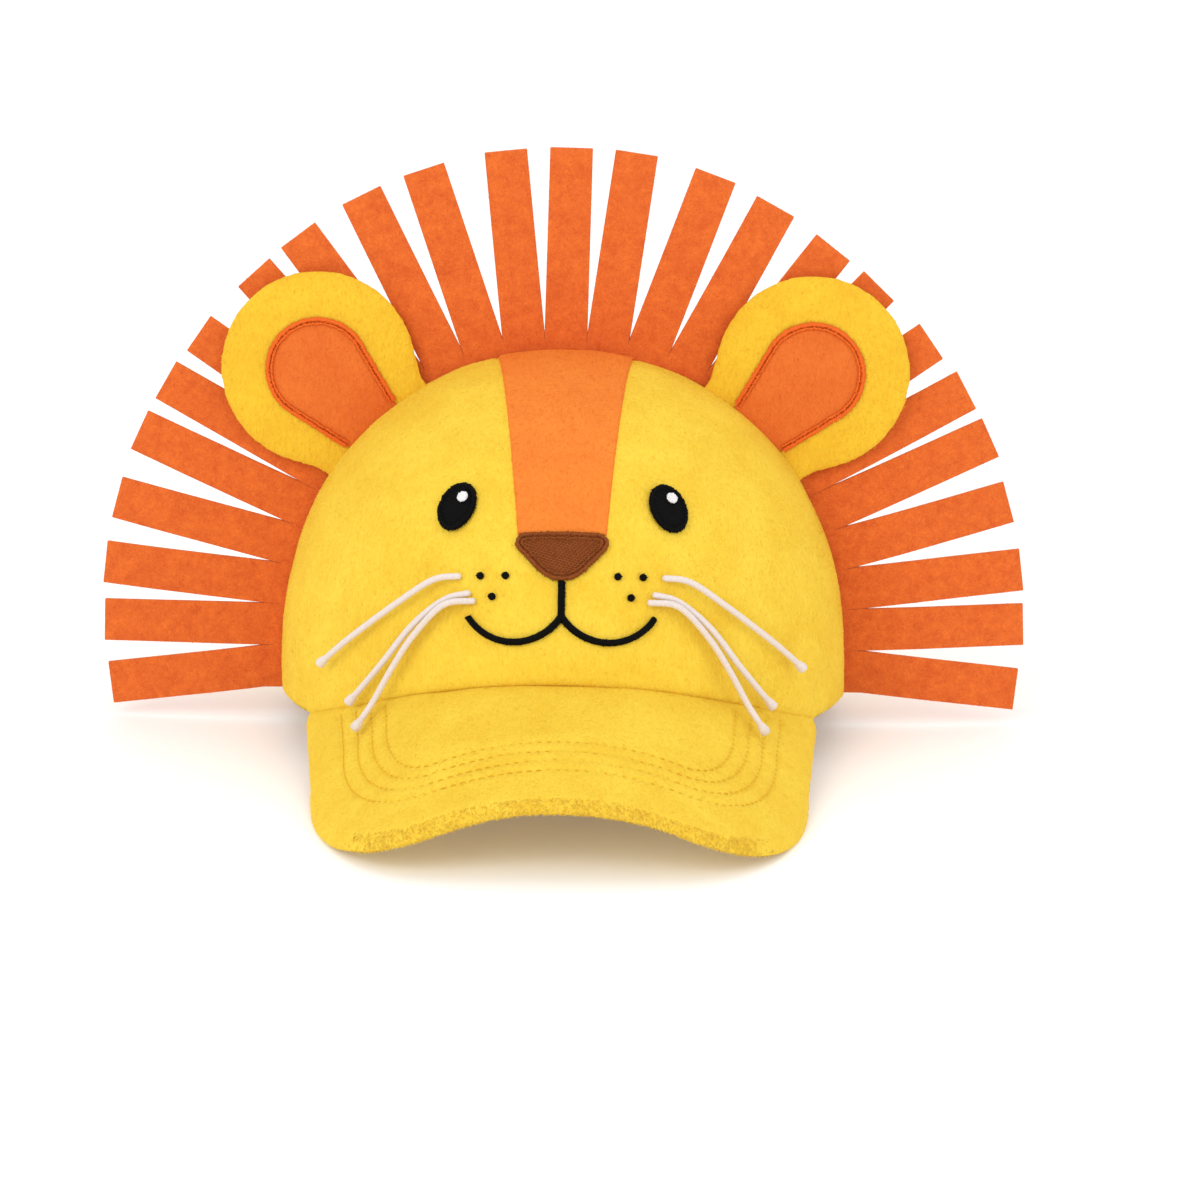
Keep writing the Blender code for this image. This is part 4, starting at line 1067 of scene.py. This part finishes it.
def fit_outline(piece, places, line):
    """Draw a pad out in its own plane, so that its edge lies along a line about its middle."""
    middle, across, away = places
    corners = np.array([vertex.co for vertex in piece.data.vertices])
    local = (corners[:, (0, 2)] - middle) @ np.column_stack((across, away))
    turns = np.linspace(-math.pi, math.pi, EAR_SECTORS + 1)
    middles = (turns[1:] + turns[:-1]) / 2
    reaches = []
    for outline in (line, local):
        turn = np.arctan2(outline[:, 1], outline[:, 0])
        reach = np.hypot(outline[:, 0], outline[:, 1])
        reaches.append([reach[(turn >= start) & (turn <= end)].max() for start, end in zip(turns, turns[1:])])
    drawn = np.array(reaches[0]) / np.array(reaches[1])
    drawn = (np.roll(drawn, 1) + drawn + np.roll(drawn, -1)) / 3
    turn = np.arctan2(local[:, 1], local[:, 0])
    local *= np.interp(turn, middles, drawn, period=2 * math.pi)[:, None]
    corners[:, (0, 2)] = middle + local[:, :1] * across + local[:, 1:] * away
    piece.data.vertices.foreach_set("co", corners.astype(np.float32).ravel())


def over_pad(pad, side):
    """What lays places drawn flat on an ear over the front of its pad, each raised by some height."""
    mesh = pad.data
    corners = [vertex.co for vertex in mesh.vertices]
    tree = BVHTree.FromPolygons(corners, [list(face.vertices) for face in mesh.polygons])
    middle, across, away = ear_places(side)

    def lay_over(local, rise):
        flat = (middle + local[..., :1] * across + local[..., 1:] * away).reshape(-1, 2)
        rises = np.broadcast_to(rise, local.shape[:-1]).ravel()
        laid = []
        for (x, z), height in zip(flat, rises):
            hit = tree.ray_cast((x, -EAR_RADIUS * 2, z), (0, 1, 0))[0]
            depth = -felt_side - EAR_BULGE if hit is None else hit.y
            laid.append((x, depth - height, z))
        return np.array(laid).reshape(*local.shape[:-1], 3)
    return lay_over


# Painted shade: the ears are the same yellow minky as the crown, and this darker golden copy of it and of its
# nap paints the shade they take.
ear_painted_shade_minky = minky("yellow_minky_painted_shade", "#F0C42A", "#E6B01C")
ear_painted_shade_tones = nap_tones("yellow_nap_painted_shade", ("#F1C836", "#EDBD2A", "#E5AF1E"))
# Painted shade: the inner ears are the same orange minky as the stripe, and this deeper copy of it and of its
# nap paints the shade on the tilted ears.
inner_ear_painted_shade_minky = minky("orange_minky_painted_shade", "#E57324", "#DA631A")
inner_ear_painted_shade_tones = nap_tones("orange_nap_painted_shade", ("#E87C2E", "#E27023", "#D86419"))
ear_thread = embroidery_thread("rust_polyester_thread", "#DA5E1E", "#EE742E", 0.5)
for side_name, side in (("left", -1), ("right", 1)):
    ear = ear_pad(f"ear_{side_name}_pad", side)
    lay_over = over_pad(ear, side)
    patch_line = ear_line(INNER_EAR_RADIUS, INNER_EAR_BASE_HALF_WIDTH)
    rim = patch_line[patch_line[:, 1] > -EAR_STAND]
    patch_shares = np.linspace(0, 1, len(patch_line))

    def patch(around, out):
        edge = np.column_stack([np.interp(around, patch_shares, patch_line[:, axis]) for axis in (0, 1)])
        edge *= 1 - INNER_EAR_BORDER / 2 / INNER_EAR_RADIUS
        fullness = np.sqrt(np.clip(1 - out ** INNER_EAR_FULLNESS, 0, 1))
        return lay_over(edge * out[:, None], INNER_EAR_LOW + INNER_EAR_RISE * fullness)

    inner = surface(f"inner_ear_{side_name}_plush", *INNER_EAR_GRID, patch)
    turn_faces_out(inner)
    add_thickness(inner, CLOTH / 4, inner_ear_painted_shade_minky, inner_ear_painted_shade_minky)
    cover_with_nap(f"inner_ear_{side_name}", inner, inner_ear_painted_shade_tones, PATCH_NAP)
    finish_piece(inner, replaced=[f"inner_ear_{side_name}"])
    borders = []
    for outer, within, top in (EAR_SATIN, EAR_INNER_SATIN):
        starts, ends = across_line(rim, outer, within)
        flat = starts[:, None] * (1 - THREAD_SHARES[:, None]) + ends[:, None] * THREAD_SHARES[:, None]
        borders.append(lay_over(flat, raised(EAR_SATIN_LOW, top)))
    lines = np.vstack(borders)
    forward = np.tile((0.0, -1.0, 0.0), (len(lines), 1))
    border = threads(f"inner_ear_border_{side_name}_satin", lines, forward)
    finish_piece(border, [ear_thread], [f"inner_ear_border_{side_name}"])
    cover_with_nap(f"ear_{side_name}", ear, ear_painted_shade_tones, EAR_NAP)
    finish_piece(ear, replaced=[f"ear_{side_name}"])

# Mane: one band of stiff pressed polyester felt, cut into strips and caught in the seam over the head from
# hem to hem. The strips stand by themselves, lean a little out of line and are furred along their cuts.
FELT_ROUND = 0.22 * MM
FELT_WAVES = ((34 * MM, 0.9 * MM), (11 * MM, 0.12 * MM))
FUZZ_LENGTH = 0.6 * MM
FUZZ_WIDTH = 0.1 * MM
FUZZ_LEAN = math.radians(62)
FUZZ_NAP = 0.6 / MM ** 2
FELT_HELD = 12 * MM
FELT_FLAT = math.radians(30)
FELT_CORNER = math.radians(120)
FELT_CUT = math.radians(50)


def pressed_felt():
    """Pressed felt: short fibres matted in all directions, dull, mottled by its dye and slightly pilled."""
    material, tree, shader = new_material(
        "pressed_felt", "#D75F1B", 1.0, Sheen_Weight=0.35, Sheen_Roughness=0.6, Sheen_Tint=linear("#FFB080"))
    places = add_node(tree, "ShaderNodeTexCoord", {})
    clouds = add_node(tree, "ShaderNodeTexNoise", {
        "Vector": places.outputs["Object"], "Scale": 1 / (3.5 * MM), "Detail": 5, "Roughness": 0.7,
    })
    fibres = add_node(tree, "ShaderNodeTexNoise", {
        "Vector": places.outputs["Object"], "Scale": 1 / (0.7 * MM), "Detail": 3, "Distortion": 1.5,
    })
    both = add_node(tree, "ShaderNodeMix", {0: 0.5, 2: clouds.outputs["Fac"], 3: fibres.outputs["Fac"]})
    shade = add_node(tree, "ShaderNodeMapRange", {
        "Value": both.outputs[0], "From Min": 0.34, "From Max": 0.66,
    })
    tint = add_node(tree, "ShaderNodeMix", {
        0: shade.outputs["Result"], 6: linear("#C64C10"), 7: linear("#E67024"),
    }, data_type="RGBA")
    bump = add_node(tree, "ShaderNodeBump", {
        "Strength": 0.6, "Distance": 0.25 * MM, "Height": fibres.outputs["Fac"],
    })
    tree.links.new(tint.outputs[2], shader.inputs["Base Color"])
    tree.links.new(bump.outputs["Normal"], shader.inputs["Normal"])
    return material


def felt_mane():
    """The felt, from a copy of its solid with softened cuts and a slight wave in each strip."""
    node = frame["nodes"]["mane"]
    piece = bpy.data.objects.new("mane_felt", node.data.copy())
    bpy.context.collection.objects.link(piece)
    piece.data.transform(HAT.inverted())
    piece.select_set(True)
    edit_all(piece, bpy.ops.mesh.remove_doubles, threshold=MERGE)
    edit_all(piece, bpy.ops.mesh.tris_convert_to_quads, face_threshold=FELT_FLAT, shape_threshold=FELT_CORNER)
    modify(piece, "BEVEL", width=FELT_ROUND, segments=2, limit_method="ANGLE", angle_limit=FELT_CUT)
    modify(piece, "SUBSURF", subdivision_type="SIMPLE", levels=2, render_levels=2)
    for vertex in piece.data.vertices:
        out = math.hypot(vertex.co.x, vertex.co.z - CROWN_STRAIGHT) - crown_half_width
        wave = sum(height * noise.noise(vertex.co / length) for length, height in FELT_WAVES)
        vertex.co.y += wave * min(max(out / FELT_HELD, 0), 1)
    piece.data.materials.clear()
    piece.data.materials.append(pressed_felt())
    fuzz_tones = nap_tones("felt_fuzz", ("#D9641F", "#E8782E", "#C85214"))
    fuzz = (FUZZ_LENGTH, FUZZ_WIDTH, FUZZ_LEAN)
    grow_nap("mane_fuzz", piece, fuzz_tones, FUZZ_NAP, fuzz)
    finish_piece(piece, replaced=["mane"])


felt_mane()

# Floor and light: a plain pale table top that runs on behind, and three soft lamps in a bright, even room.
TABLE_WIDTH = 9.0
TABLE_MIDDLE = (0, 1.5, 0)
TABLE_GLOW = 0.12
ROOM_LIGHT = 0.85
bpy.ops.mesh.primitive_plane_add(size=TABLE_WIDTH, location=TABLE_MIDDLE)
table = bpy.context.object
table.name = "table_top"
laminate = new_material(
    "white_laminate", "#FBFBFA", 0.6, Emission_Color=linear("#FFFFFF"), Emission_Strength=TABLE_GLOW)
table.data.materials.append(laminate[0])
table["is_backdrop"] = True


def lamp(name, place, width, power):
    """A square soft lamp that shines on the hat."""
    bpy.ops.object.light_add(type="AREA")
    light = bpy.context.object
    light.name = name
    light.data.size = width
    light.data.energy = power
    light.location = place
    light.rotation_euler = Vector(place).to_track_quat("Z", "Y").to_euler()


lamp("lamp_left", (-0.75, -1.2, 0.9), 0.9, 8)
lamp("lamp_right", (1.0, -0.8, 0.6), 1.0, 3)
lamp("lamp_top", (0.1, 0.3, 1.4), 1.2, 3)
room = bpy.data.worlds.new("bright_room")
room.use_nodes = True
walls = room.node_tree.nodes["Background"]
walls.inputs["Color"].default_value = linear("#FFFFFF")
walls.inputs["Strength"].default_value = ROOM_LIGHT
bpy.context.scene.world = room
bpy.context.scene.view_settings.view_transform = "Standard"

visual_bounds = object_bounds()
[[list(corner) for corner in bounds] for bounds in (cad_bounds, visual_bounds)]
